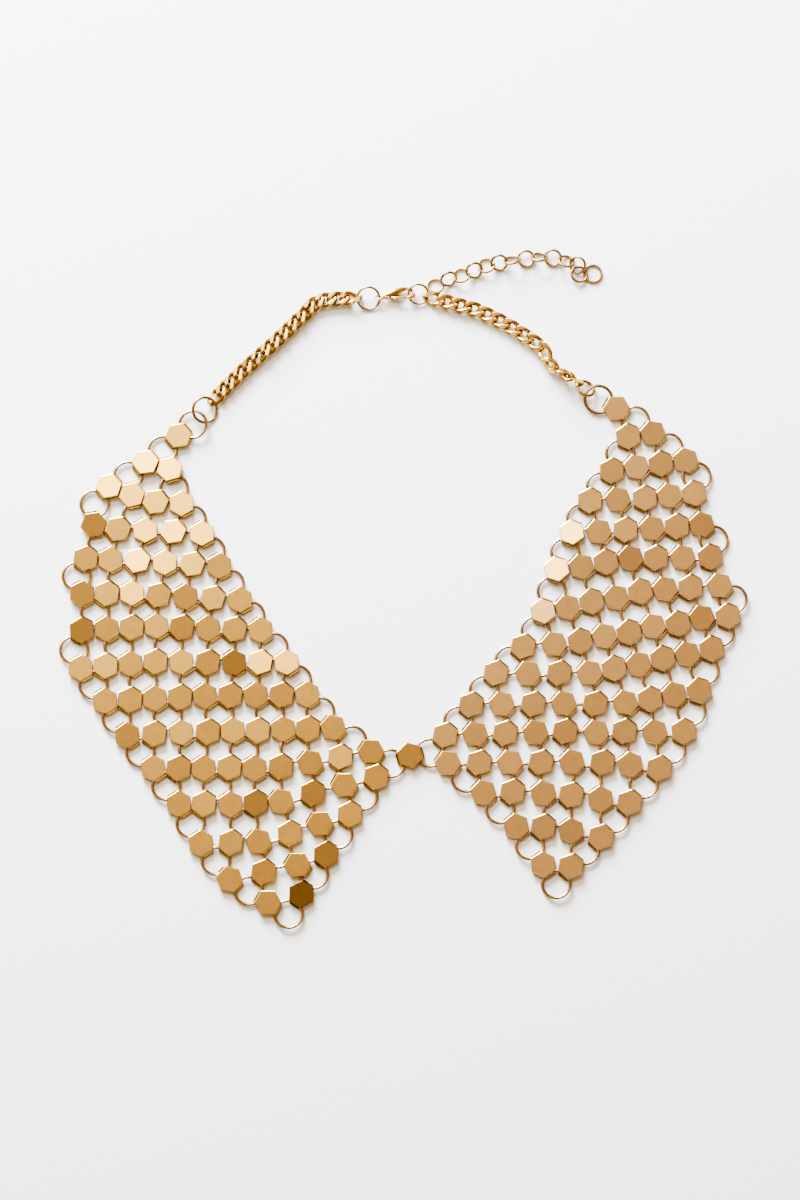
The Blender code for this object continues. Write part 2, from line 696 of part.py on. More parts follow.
add_chain(
    "left_curb_chain",
    beside_ring(left_top, flat(LEFT_CURB_ROUTE[0]), LEFT_TOP_RING_RADIUS, TOP_WIRE_RADIUS),
    LEFT_CURB_ROUTE[1:-1],
    beside_ring(eye_ring_centre, flat(LEFT_CURB_ROUTE[-1]), EYE_RING_RADIUS, EYE_RING_WIRE_RADIUS),
    CURB_WIDTH, CURB_THICKNESS, CHAIN_GOLD,
)
add_chain(
    "right_curb_chain",
    beside_ring(
        tongue_ring_centre, flat(RIGHT_CURB_ROUTE[0]), TONGUE_RING_RADIUS, TONGUE_RING_WIRE_RADIUS,
    ),
    RIGHT_CURB_ROUTE[1:-1],
    beside_ring(right_top, flat(RIGHT_CURB_ROUTE[-1]), RIGHT_TOP_RING_RADIUS, TOP_WIRE_RADIUS),
    CURB_WIDTH, CURB_THICKNESS, CHAIN_GOLD,
)
add_chain(
    "extender_chain",
    beside_ring(
        tongue_ring_centre, flat(EXTENDER_ROUTE[0]), TONGUE_RING_RADIUS, TONGUE_RING_WIRE_RADIUS,
    ),
    EXTENDER_ROUTE[:-1],
    beside_ring(end_ring_centre, flat(EXTENDER_ROUTE[-1]), END_RING_RADIUS, END_RING_WIRE_RADIUS),
    EXTENDER_WIDTH, EXTENDER_THICKNESS, CHAIN_GOLD,
)

centre_on_origin([item for item in NECKLACE.objects if item.type == "MESH"])
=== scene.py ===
"""The looks of a bib necklace of hexagonal plates on wire rings, laid flat on pale paper."""
import math
import random

import bmesh
import bpy
from mathutils import Matrix, Quaternion, Vector


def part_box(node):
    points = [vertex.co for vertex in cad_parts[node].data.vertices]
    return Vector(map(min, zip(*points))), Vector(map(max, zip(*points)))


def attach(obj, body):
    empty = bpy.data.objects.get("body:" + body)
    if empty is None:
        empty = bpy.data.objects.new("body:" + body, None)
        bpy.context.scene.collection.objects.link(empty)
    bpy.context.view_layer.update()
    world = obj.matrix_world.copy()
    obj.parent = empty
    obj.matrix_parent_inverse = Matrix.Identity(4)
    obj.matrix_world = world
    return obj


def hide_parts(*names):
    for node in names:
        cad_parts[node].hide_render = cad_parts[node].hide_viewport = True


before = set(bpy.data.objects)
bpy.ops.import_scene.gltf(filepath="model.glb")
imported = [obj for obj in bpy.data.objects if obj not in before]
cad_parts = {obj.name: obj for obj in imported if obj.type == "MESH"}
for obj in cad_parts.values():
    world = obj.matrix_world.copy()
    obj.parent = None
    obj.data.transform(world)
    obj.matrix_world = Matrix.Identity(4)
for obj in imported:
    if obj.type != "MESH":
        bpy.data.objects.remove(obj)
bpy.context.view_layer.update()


# Camera. The necklace is seen almost from above, from its lower end, through a long lens.
# A millimetre on the floor is three pixels of the photograph's width.
CAMERA_HEIGHT_ANGLE = math.radians(76)
CAMERA_DISTANCE = 3.0
SENSOR_WIDTH = 36.0
VIEW_HEIGHT = 0.400
VIEW_MIDDLE = Vector((-0.0011, -0.0044, 0.0))
CAMERA_REACH = 20.0

camera_data = bpy.data.cameras.new("camera")
camera_data.sensor_width = SENSOR_WIDTH
camera_data.lens = SENSOR_WIDTH * CAMERA_DISTANCE / VIEW_HEIGHT
camera_data.clip_end = CAMERA_REACH
camera = bpy.data.objects.new("camera", camera_data)
bpy.context.scene.collection.objects.link(camera)
towards_camera = Vector((0.0, -math.cos(CAMERA_HEIGHT_ANGLE), math.sin(CAMERA_HEIGHT_ANGLE)))
camera.location = VIEW_MIDDLE + towards_camera * CAMERA_DISTANCE
camera.rotation_euler = (math.pi / 2 - CAMERA_HEIGHT_ANGLE, 0.0, 0.0)
bpy.context.scene.camera = camera


# The paper that the necklace lies on: an off-white uncoated sheet with a faint laid grain. It is
# matt, so it shows the necklace's shadows and next to no reflection.
PAPER_SIZE = 3.0
PAPER_COLOUR = "F5F5F4"
PAPER_SHADE = "EDEDEC"
PAPER_GRAIN = 0.0012
PAPER_GRAIN_STRETCH = 4.0
PAPER_GRAIN_DETAIL = 4.0
PAPER_RELIEF = 0.00006
PAPER_RELIEF_STRENGTH = 0.5
PAPER_ROUGHNESS = 0.9
PAPER_GLOSS = 0.2


def linear(colour):
    """A colour in sRGB hex as linear red, green, blue and alpha."""
    parts = [int(colour[start:start + 2], 16) / 255 for start in (0, 2, 4)]
    shares = [part / 12.92 if part <= 0.04045 else ((part + 0.055) / 1.055) ** 2.4 for part in parts]
    return (*shares, 1.0)


def node(owner, kind, settings=None, values=None, links=None):
    """Add a shader node with its settings, its input values and its incoming links."""
    tree = owner.node_tree
    made = tree.nodes.new(kind)
    for name, value in (settings or {}).items():
        setattr(made, name, value)
    for name, value in (values or {}).items():
        made.inputs[name].default_value = value
    for name, source in (links or {}).items():
        tree.links.new(source, made.inputs[name])
    return made


def new_material(name):
    """A new node material and its surface shader."""
    material = bpy.data.materials.new(name)
    material.use_nodes = True
    return material, material.node_tree.nodes["Principled BSDF"]


def laid_paper():
    """Uncoated drawing paper: matt, with a grain that is drawn a little coarser than it is."""
    material, surface = new_material("laid_drawing_paper")
    surface.inputs["Roughness"].default_value = PAPER_ROUGHNESS
    surface.inputs["Specular IOR Level"].default_value = PAPER_GLOSS
    place = node(material, "ShaderNodeTexCoord")
    stretched = node(
        material, "ShaderNodeMapping", None, {"Scale": (1.0, PAPER_GRAIN_STRETCH, 1.0)},
        {"Vector": place.outputs["Object"]},
    )
    grain = node(
        material, "ShaderNodeTexNoise", None,
        {"Scale": 1 / PAPER_GRAIN / PAPER_GRAIN_STRETCH, "Detail": PAPER_GRAIN_DETAIL},
        {"Vector": stretched.outputs["Vector"]},
    )
    tint = node(
        material, "ShaderNodeMix", {"data_type": "RGBA"},
        {6: linear(PAPER_SHADE), 7: linear(PAPER_COLOUR)}, {0: grain.outputs["Fac"]},
    )
    bump = node(
        material, "ShaderNodeBump", None,
        {"Strength": PAPER_RELIEF_STRENGTH, "Distance": PAPER_RELIEF},
        {"Height": grain.outputs["Fac"]},
    )
    material.node_tree.links.new(tint.outputs[2], surface.inputs["Base Color"])
    material.node_tree.links.new(bump.outputs["Normal"], surface.inputs["Normal"])
    return material


def link_mesh(name, shape, *materials):
    """Turn a finished bmesh into an object at the origin."""
    mesh = bpy.data.meshes.new(name)
    shape.to_mesh(mesh)
    shape.free()
    for material in materials:
        mesh.materials.append(material)
    made = bpy.data.objects.new(name, mesh)
    bpy.context.scene.collection.objects.link(made)
    return made


sheet = bmesh.new()
bmesh.ops.create_grid(sheet, x_segments=1, y_segments=1, size=PAPER_SIZE / 2)
paper = link_mesh("paper", sheet, laid_paper())


# Studio light: a soft window, low behind the clasp, which throws short shadows to the front, and a
# ceiling panel, whose edge the left wing mirrors and the right wing doesn't. A white card at the
# upper left brightens the edges on that side. The room is warm, and paler towards the window.
WINDOW_PLACE = Vector((-0.42, 1.10, 0.50))
WINDOW_SIZE = 0.66
WINDOW_POWER = 248.0
WINDOW_COLOUR = "EAF2FF"
PANEL_BEARING = math.radians(120)
PANEL_EDGE = 0.60
PANEL_SIZE = 0.80
PANEL_HEIGHT = 1.60
PANEL_POWER = 36.0
PANEL_COLOUR = "FFF9EE"
CARD_PLACE = Vector((-0.80, 0.72, 0.60))
CARD_SIZE = 0.45
CARD_POWER = 6.0
CARD_COLOUR = "FFFBF4"
ROOM_COLOUR = "FFD094"
ROOM_DIM = 0.45
ROOM_BRIGHT = 1.55

# The room is dimmest where the cosine of the angle to the window is below this
ROOM_DIM_SIDE = -0.2


def add_soft_light(name, place, aim, turn, size, power, colour):
    """A square lamp that looks at its aim, turned about that line."""
    light = bpy.data.lights.new(name, "AREA")
    light.shape = "SQUARE"
    light.size = size
    light.energy = power
    light.color = linear(colour)[:3]
    lamp = bpy.data.objects.new(name, light)
    lamp.location = place
    lamp.rotation_mode = "QUATERNION"
    lamp.rotation_quaternion = (place - aim).to_track_quat("Z", "Y") @ Quaternion((0, 0, 1), turn)
    lamp.visible_camera = False
    bpy.context.scene.collection.objects.link(lamp)


add_soft_light("window", WINDOW_PLACE, Vector(), 0.0, WINDOW_SIZE, WINDOW_POWER, WINDOW_COLOUR)
towards_panel = Vector((math.cos(PANEL_BEARING), math.sin(PANEL_BEARING), 0.0))
below_panel = towards_panel * (PANEL_EDGE + PANEL_SIZE / 2)
add_soft_light(
    "ceiling_panel", below_panel + Vector((0, 0, PANEL_HEIGHT)), below_panel, PANEL_BEARING,
    PANEL_SIZE, PANEL_POWER, PANEL_COLOUR,
)
add_soft_light("white_card", CARD_PLACE, Vector(), 0.0, CARD_SIZE, CARD_POWER, CARD_COLOUR)

room = bpy.data.worlds.new("room")
room.use_nodes = True
direction = node(room, "ShaderNodeTexCoord")
towards_window = node(
    room, "ShaderNodeVectorMath", {"operation": "DOT_PRODUCT"}, {1: WINDOW_PLACE.normalized()},
    {0: direction.outputs["Generated"]},
)
room_light = node(
    room, "ShaderNodeMapRange", None,
    {"From Min": ROOM_DIM_SIDE, "From Max": 1.0, "To Min": ROOM_DIM, "To Max": ROOM_BRIGHT},
    {"Value": towards_window.outputs["Value"]},
)
room_background = room.node_tree.nodes["Background"]
room_background.inputs["Color"].default_value = linear(ROOM_COLOUR)
room.node_tree.links.new(room_light.outputs["Result"], room_background.inputs["Strength"])
bpy.context.scene.world = room


# The two wings of the bib. Each is 89 stamped brass caps, gold plated, in 15 rows. Every cap is
# folded over a wire ring at two opposite sides, and each ring holds up to four caps.
PLATE_FLATS = 0.0077
PLATE_HEIGHT = 0.0020
PLATE_GAP = 0.00095
PITCH = PLATE_FLATS + PLATE_GAP
MESH_WIRE_RADIUS = 0.00056
MESH_RING_STEPS = 32
MESH_RING_SIDES = 8
TAB_DEPTH = 0.00110
RING_TO_PLATE = 0.85 * PITCH
MESH_RING_RADIUS = RING_TO_PLATE - PLATE_FLATS / 2 + TAB_DEPTH
MESH_RING_Z = PLATE_HEIGHT / 2
EDGE_RING_SHIFT = 0.30 * PITCH
TIP_RING_SHIFT = 0.77 * PITCH
WIRE_GRIP = 0.00060
UNDER_PLATE = 0.00160
PLATE_PLAY = 0.00060
SETTLING_ROUNDS = 80

# A cap is drawn a little wider than its plate in the plan, because the real ones almost touch.
# Its rounded edge, the height of its open rim, its metal and the depth of its hollow underside
CAP_FLATS = 0.0080
EDGE_ROUND = 0.00027
EDGE_SEGMENTS = 2
CAP_CREASE = math.radians(15)
RIM_Z = 0.00055
PLATE_METAL = 0.00035
PLATE_HOLLOW = 0.00112

# The fold at two of its sides, seen along the side: distance from the cap's middle, and height
FOLD_PROFILE = (
    (0.00385, 0.00070), (0.00406, 0.00070), (0.00422, 0.00122), (0.00444, 0.00124),
    (0.00462, 0.00106), (0.00470, 0.00070), (0.00464, 0.00030), (0.00440, 0.00008),
    (0.00330, 0.00008), (0.00330, 0.00040), (0.00385, 0.00044),
)
FOLD_ROOT = 0.0040
FOLD_HALF_LENGTH = 0.00205
FOLD_TAPER = 0.40

# The walls and folds are painted darker than the tops, a painted shade: heights between which
# it fades in, and how dark it is below
SHADE_FREE_Z = 0.00178
FULL_SHADE_Z = 0.00130
CAP_WALL_SHADE = 0.32
FULL_TONE = 1.0

# Vertices of a wire closer than this share of its radius are one, and edges sharper than this show
WELD_SHARE = 0.02
WIRE_CREASE = math.radians(40)

# The plating: the tint of its reflection at a glancing angle, its lacquer, and its mottle's detail,
# contrast, range of roughness, strength of relief and depth as a share of its grain
PLATING_TINT = "D9AE6A"
LACQUER_SHARE = 0.05
LACQUER_ROUGHNESS = 0.30
MOTTLE_DETAIL = 3.0
MOTTLE_CONTRAST = 0.6
MOTTLE_GLOSS_RANGE = 0.06
MOTTLE_RELIEF = 0.25
MOTTLE_DEPTH_SHARE = 0.05

# Chance: the seed of each wing, how far a cap or ring leans by it, though no ring so far that it
# would show over a cap, and how far the shade of its plating may differ
LEFT_SEED = 11
RIGHT_SEED = 23
LEFT_PLATE_LEAN = math.radians(0.9)
RIGHT_PLATE_LEAN = math.radians(0.5)
RING_LEAN = math.radians(2.5)
RING_LEAN_LIMIT = math.radians(3.2)
PLATE_SHADES = (0.92, 1.06)
WIRE_SHADES = (0.85, 1.10)
LEAN_AXIS = Vector((-math.sin(PANEL_BEARING), math.cos(PANEL_BEARING), 0.0))

# Caps that stand out, by row and column: degrees that each leans to the panel, and its shade,
# a painted light above one and a painted shade below one, for what the cap mirrors
LEFT_ODD_CAPS = {
    (1, 0): (-1.0, 0.98), (2, -1): (5.0, 1.10), (2, 0): (3.0, 1.05), (3, -2): (4.5, 1.10),
    (3, -1): (1.8, 1.00), (3, 0): (3.2, 1.05), (3, 1): (1.8, 1.02), (4, -2): (-4.0, 0.85),
    (4, 0): (1.8, 1.02), (4, 1): (2.8, 1.05), (4, 2): (2.6, 1.05), (5, 0): (5.5, 1.10),
    (5, 1): (2.8, 1.05), (5, 2): (1.8, 1.02), (6, 0): (2.6, 1.05), (6, -2): (-2.5, 0.85),
    (7, -2): (-3.0, 0.78), (8, 4): (-3.0, 0.66), (8, 5): (4.0, 1.05), (8, 6): (4.2, 1.05),
    (12, 5): (-2.0, 0.66), (12, 7): (-2.0, 0.80), (14, 7): (-2.0, 0.60), (15, 5): (0.0, 0.90),
    (15, 6): (-5.0, 0.38),
}
RIGHT_ODD_CAPS = {
    (2, -1): (-1.0, 0.85), (5, -2): (-1.0, 0.86), (5, 3): (6.5, 1.10), (6, 4): (6.5, 1.10),
    (6, 3): (-1.0, 0.85), (6, 1): (-1.0, 0.86), (7, 5): (4.0, 1.05), (8, -1): (-1.0, 0.85),
    (14, 5): (-1.0, 0.80), (14, 6): (-0.5, 0.92),
}
# The painted half shade of the centre cap
CENTRE_PAINTED_SHADE = 0.68

# Rows of caps from the shoulder down to the tip. Columns count inwards to the neck, and a row's
# spacing changes at its turn. Places are shares of the pitch from the centre plate:
# first, turn, last, outer x, outer y, turn x, turn y, inner x, inner y
LEFT_ROWS = (
    (0, 0, 0, -8.95, 12.70, -8.95, 12.70, -8.95, 12.70),
    (-1, 0, 0, -10.20, 11.60, -9.30, 11.35, -9.30, 11.35),
    (-2, 0, 1, -11.60, 10.65, -9.90, 10.00, -8.80, 9.95),
    (-2, -1, 2, -12.20, 9.15, -11.30, 8.95, -8.05, 8.80),
    (-2, -1, 3, -12.50, 7.80, -11.55, 7.75, -7.35, 7.50),
    (-2, 0, 4, -12.60, 6.40, -10.75, 6.40, -6.55, 6.15),
    (-2, 1, 5, -12.60, 4.95, -9.80, 5.10, -5.75, 4.95),
    (-2, 1, 6, -12.65, 3.45, -9.80, 3.70, -4.75, 3.65),
    (-1, 3, 7, -11.70, 2.15, -7.90, 2.35, -3.95, 2.40),
    (0, 3, 8, -10.85, 0.80, -7.75, 0.95, -2.95, 1.10),
    (1, 6, 9, -9.85, -0.50, -5.00, -0.50, -1.50, 0.15),
    (2, 6, 9, -8.85, -1.90, -4.95, -1.80, -1.30, -0.85),
    (3, 5, 8, -8.00, -3.45, -5.75, -3.45, -2.30, -2.30),
    (4, 6, 7, -6.90, -4.85, -4.30, -4.30, -3.20, -3.85),
    (5, 6, 6, -5.45, -5.75, -4.15, -5.40, -4.15, -5.40),
)
RIGHT_ROWS = (
    (0, 0, 0, 8.00, 13.80, 8.00, 13.80, 8.00, 13.80),
    (-1, 0, 0, 9.40, 12.80, 8.45, 12.70, 8.45, 12.70),
    (-2, 0, 1, 10.60, 11.70, 8.80, 11.45, 7.80, 11.30),
    (-2, 0, 2, 10.95, 10.40, 9.10, 10.20, 6.95, 10.10),
    (-2, 0, 3, 11.25, 9.15, 9.35, 9.00, 6.25, 8.80),
    (-2, 1, 4, 11.55, 7.85, 8.45, 7.80, 5.70, 7.35),
    (-2, 0, 5, 11.95, 6.70, 9.70, 6.65, 5.20, 5.70),
    (-2, 5, 6, 12.25, 5.55, 5.60, 4.35, 4.35, 4.30),
    (-1, 4, 7, 11.55, 4.20, 6.95, 3.25, 3.30, 3.25),
    (0, 3, 8, 11.10, 2.55, 8.30, 2.05, 2.35, 2.00),
    (1, 5, 9, 10.50, 0.95, 5.95, 0.95, 1.35, 0.80),
    (2, 4, 9, 9.55, -0.50, 7.40, -0.25, 1.45, -0.30),
    (3, 6, 8, 8.40, -1.85, 5.05, -1.40, 2.80, -1.45),
    (4, 6, 7, 7.30, -3.20, 5.10, -2.80, 4.05, -2.75),
    (5, 6, 6, 6.15, -4.35, 5.10, -4.30, 5.10, -4.30),
)

# Rings that no four caps place: the topmost of each wing, and the two that hold the centre plate
TOP_RING = (0, 0)
BRIDGE_RING = (11, 9)
LEFT_FREE_RINGS = {TOP_RING: (-8.40, 13.15), BRIDGE_RING: (-0.76, -0.30)}
RIGHT_FREE_RINGS = {TOP_RING: (7.30, 14.15), BRIDGE_RING: (0.76, 0.12)}
LEFT_TOP_RING_PLACE = (-7.95, 13.70)
RIGHT_TOP_RING_PLACE = (6.65, 14.70)
TOP_MESH_RING_RISE = math.radians(7)
TOP_MESH_RING_ROLL = math.radians(6)

low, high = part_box("centre_plate")
PLAN_ORIGIN = Vector(((low[0] + high[0]) / 2, (low[1] + high[1]) / 2, 0.0))


def flat(place):
    """A place of the plan, in shares of the pitch, as a point on the floor."""
    return PLAN_ORIGIN + Vector((place[0] * PITCH, place[1] * PITCH, 0.0))


def plate_places(rows):
    """Each cap's place on the floor, by row and column."""
    places = {}
    for number, row in enumerate(rows, 1):
        first, turn, last = row[:3]
        outer, bend, inner = flat(row[3:5]), flat(row[5:7]), flat(row[7:9])
        for column in range(first, turn):
            places[number, column] = outer.lerp(bend, (column - first) / (turn - first))
        for column in range(turn, last):
            places[number, column] = bend.lerp(inner, (column - turn) / (last - turn))
        places[number, last] = inner
    return places


def ring_above(row, column):
    """The ring that a cap's upper fold holds."""
    return (row - 1, column if (column + row - 1) % 2 == 0 else column - 1)


def ring_below(row, column):
    """The ring that a cap's lower fold holds."""
    return (row, column if (column + row) % 2 == 0 else column - 1)


def middle(places):
    """The point amid some places."""
    return sum(places, Vector()) / len(places)


def ring_place(plates, gap, column):
    """A ring lies amid the four caps that it joins, or past the mesh's edge on fewer."""
    corners = [(gap, column), (gap, column + 1), (gap + 1, column), (gap + 1, column + 1)]
    known = [plates[corner] for corner in corners if corner in plates]
    if len(known) == 4:
        return middle(known)
    missing = [corner for corner in corners if corner not in plates]
    if len(missing) == 1:
        row, side = missing[0]
        other_row = 2 * gap + 1 - row
        other_side = 2 * column + 1 - side
        fourth = plates[row, other_side] + plates[other_row, side] - plates[other_row, other_side]
        return middle(known + [fourth])
    if missing[0][0] == missing[1][0]:
        behind = [plates[gap - 1, column], plates[gap - 1, column + 1]]
        shift = TIP_RING_SHIFT
    else:
        held = column + 1 if missing[0][1] == column else column
        inside = column + 2 if held == column + 1 else column - 1
        behind = [plates[gap, inside], plates[gap + 1, inside]]
        shift = EDGE_RING_SHIFT
    outwards = (middle(known) - middle(behind)).normalized()
    return middle(known) + outwards * shift


def part_pair(places, first, others, second, nearest, farthest, held):
    """Move two pieces along the line between them until their distance is allowed."""
    line = others[second] - places[first]
    wrong = line.length - min(max(line.length, nearest), farthest)
    shift = line.normalized() * wrong
    if second in held:
        places[first] += shift
    else:
        places[first] += shift / 2
        others[second] -= shift / 2


def settled_mesh(rows, free_rings):
    """Places of a wing's caps and rings, as its wires allow: none stretches or lies on another."""
    plates = plate_places(rows)
    keys = {ring_above(*key) for key in plates} | {ring_below(*key) for key in plates}
    rings = {}
    for key in sorted(keys):
        rings[key] = flat(free_rings[key]) if key in free_rings else ring_place(plates, *key)
    nearest = MESH_RING_RADIUS + UNDER_PLATE
    farthest = MESH_RING_RADIUS + PLATE_FLATS / 2 - WIRE_GRIP
    apart = PLATE_FLATS + PLATE_PLAY
    beside = [(0, 1), (1, -1), (1, 0), (1, 1)]
    for _ in range(SETTLING_ROUNDS):
        for key in plates:
            part_pair(plates, key, rings, ring_above(*key), nearest, farthest, free_rings)
            part_pair(plates, key, rings, ring_below(*key), nearest, farthest, free_rings)
        for row, column in plates:
            for down, across in beside:
                other = (row + down, column + across)
                if other in plates:
                    part_pair(plates, (row, column), plates, other, apart, math.inf, ())
    return plates, rings


def ring_matrix(centre, heading, rise=0.0, roll=0.0):
    """A ring laid flat at its centre, then lifted at its front end and rolled about its heading."""
    turned = Matrix.Rotation(heading, 4, "Z") @ Matrix.Rotation(roll, 4, "X")
    return Matrix.Translation(centre) @ turned @ Matrix.Rotation(-rise, 4, "Y")


def above_floor(ring, radius, wire_radius):
    """Lift a leaning ring as far as its wire would reach below the floor."""
    slope = math.sqrt(max(0.0, 1 - ring[2][2] ** 2))
    lowest = ring.translation.z - radius * slope - wire_radius
    return Matrix.Translation((0, 0, max(0.0, -lowest))) @ ring


def mesh_of(name, shape):
    """Keep a finished bmesh as a mesh that pieces are then made from."""
    bmesh.ops.recalc_face_normals(shape, faces=shape.faces)
    mesh = bpy.data.meshes.new(name)
    shape.to_mesh(mesh)
    shape.free()
    return mesh


def cap_mesh():
    """A stamped cap: a hexagonal pan with a rounded edge, open below, and its two folds."""
    shape = bmesh.new()
    corner = CAP_FLATS / math.sqrt(3)
    bmesh.ops.create_cone(
        shape, cap_ends=True, segments=6, radius1=corner, radius2=corner,
        depth=PLATE_HEIGHT - RIM_Z, matrix=Matrix.Translation((0, 0, (PLATE_HEIGHT + RIM_Z) / 2)),
    )
    near_top = PLATE_HEIGHT - EDGE_ROUND / 2
    top_edges = [e for e in shape.edges if all(v.co.z > near_top for v in e.verts)]
    bmesh.ops.bevel(
        shape, geom=top_edges, offset=EDGE_ROUND, segments=EDGE_SEGMENTS, profile=0.5,
        affect="EDGES", material=-1,
    )
    shape.faces.ensure_lookup_table()
    under = min(shape.faces, key=lambda face: face.calc_center_median().z)
    bmesh.ops.inset_region(shape, faces=[under], thickness=PLATE_METAL, depth=0.0)
    bmesh.ops.translate(shape, verts=under.verts, vec=(0, 0, PLATE_HOLLOW))
    for side in (1, -1):
        corners = [shape.verts.new((side * x, -FOLD_HALF_LENGTH, z)) for x, z in FOLD_PROFILE]
        end = shape.faces.new(corners)
        pulled = bmesh.ops.extrude_face_region(shape, geom=[end])
        far = [item for item in pulled["geom"] if isinstance(item, bmesh.types.BMVert)]
        bmesh.ops.translate(shape, verts=far, vec=(0, 2 * FOLD_HALF_LENGTH, 0))
        for vert in corners + far:
            past = max(0.0, abs(vert.co.x) - FOLD_ROOT)
            vert.co.y -= math.copysign(past * FOLD_TAPER, vert.co.y)
    mesh = mesh_of("cap", shape)
    # Painted shade: darker towards the bottom of the walls, and darkest on the folds
    painted_shade = mesh.attributes.new("painted_shade", "FLOAT", "POINT")
    for vert in mesh.vertices:
        share = min(1.0, max(0.0, (vert.co.z - FULL_SHADE_Z) / (SHADE_FREE_Z - FULL_SHADE_Z)))
        painted_shade.data[vert.index].value = CAP_WALL_SHADE + (1 - CAP_WALL_SHADE) * share
    return mesh


def wire_ring_mesh(radius, wire_radius, steps, sides):
    """Round wire bent to a ring, with its soldered joint dressed away."""
    shape = bmesh.new()
    across = Matrix.Translation((radius, 0, 0)) @ Matrix.Rotation(math.pi / 2, 4, "X")
    bmesh.ops.create_circle(shape, segments=sides, radius=wire_radius, matrix=across)
    bmesh.ops.spin(
        shape, geom=shape.verts[:] + shape.edges[:], cent=(0, 0, 0), axis=(0, 0, 1),
        angle=2 * math.pi, steps=steps, use_merge=True,
    )
    bmesh.ops.remove_doubles(shape, verts=shape.verts, dist=wire_radius * WELD_SHARE)
    return mesh_of("wire_ring", shape)


def copies(name, pieces, *materials):
    """One object that holds a copy of each (mesh, matrix, tone); tone shades the plating, times any
    painted shade of the mesh.
    """
    shape = bmesh.new()
    tones = []
    for mesh, matrix, tone in pieces:
        start = len(shape.verts)
        shape.from_mesh(mesh)
        bmesh.ops.transform(shape, matrix=matrix, verts=shape.verts[start:])
        # Each vertex's tone is the piece's tone times the mesh's painted shade, where it has one
        painted_shade = mesh.attributes.get("painted_shade")
        tones += [tone * (painted_shade.data[vert.index].value if painted_shade else FULL_TONE) for vert in mesh.vertices]
    tone_of = shape.verts.layers.float.new("tone")
    for vert, tone in zip(shape.verts, tones):
        vert[tone_of] = tone
    made = link_mesh(name, shape, *materials)
    made.data.shade_smooth()
    made.data.set_sharp_from_angle(angle=WIRE_CREASE)
    return made


def gold_plating(name, dark, light, grain, roughness):
    """Gold plated on blasted or polished brass, under a thin clear lacquer.

    The eye sees one soft reflection with a faint mottle, and edges that stay gold where they
    mirror the pale paper. The real grain is finer than can be seen and is drawn coarser.
    """
    material, surface = new_material(name)
    surface.inputs["Metallic"].default_value = 1.0
    surface.inputs["Specular Tint"].default_value = linear(PLATING_TINT)
    surface.inputs["Coat Weight"].default_value = LACQUER_SHARE
    surface.inputs["Coat Roughness"].default_value = LACQUER_ROUGHNESS
    place = node(material, "ShaderNodeTexCoord")
    mottle = node(
        material, "ShaderNodeTexNoise", None,
        {"Scale": 1 / grain, "Detail": MOTTLE_DETAIL, "Roughness": MOTTLE_CONTRAST},
        {"Vector": place.outputs["Object"]},
    )
    # The tone scales the plating: a tone that differs at random, and painted light and shade on some
    # pieces
    tone = node(material, "ShaderNodeAttribute", {"attribute_name": "tone"})
    plating = node(
        material, "ShaderNodeMix", {"data_type": "RGBA"}, {6: linear(dark), 7: linear(light)},
        {0: mottle.outputs["Fac"]},
    )
    shade = node(
        material, "ShaderNodeMix", {"data_type": "RGBA", "blend_type": "MULTIPLY"}, {0: 1.0},
        {6: plating.outputs[2], 7: tone.outputs["Color"]},
    )
    rough = node(
        material, "ShaderNodeMapRange", None,
        {"To Min": roughness - MOTTLE_GLOSS_RANGE, "To Max": roughness + MOTTLE_GLOSS_RANGE},
        {"Value": mottle.outputs["Fac"]},
    )
    bump = node(
        material, "ShaderNodeBump", None,
        {"Strength": MOTTLE_RELIEF, "Distance": grain * MOTTLE_DEPTH_SHARE},
        {"Height": mottle.outputs["Fac"]},
    )
    links = material.node_tree.links
    links.new(shade.outputs[2], surface.inputs["Base Color"])
    links.new(rough.outputs["Result"], surface.inputs["Roughness"])
    links.new(bump.outputs["Normal"], surface.inputs["Normal"])
    return material


def leaning(to_panel, chance_lean, chance):
    """A cap's lean, and the lift that keeps its lowest fold on the floor."""
    lean = Matrix.Rotation(math.radians(to_panel), 4, LEAN_AXIS)
    lean = lean @ Matrix.Rotation(chance.gauss(0, chance_lean), 4, "X")
    lean = lean @ Matrix.Rotation(chance.gauss(0, chance_lean), 4, "Y")
    slope = math.sqrt(max(0.0, 1 - lean[2][2] ** 2))
    return Matrix.Translation((0, 0, slope * PLATE_FLATS / 2)) @ lean


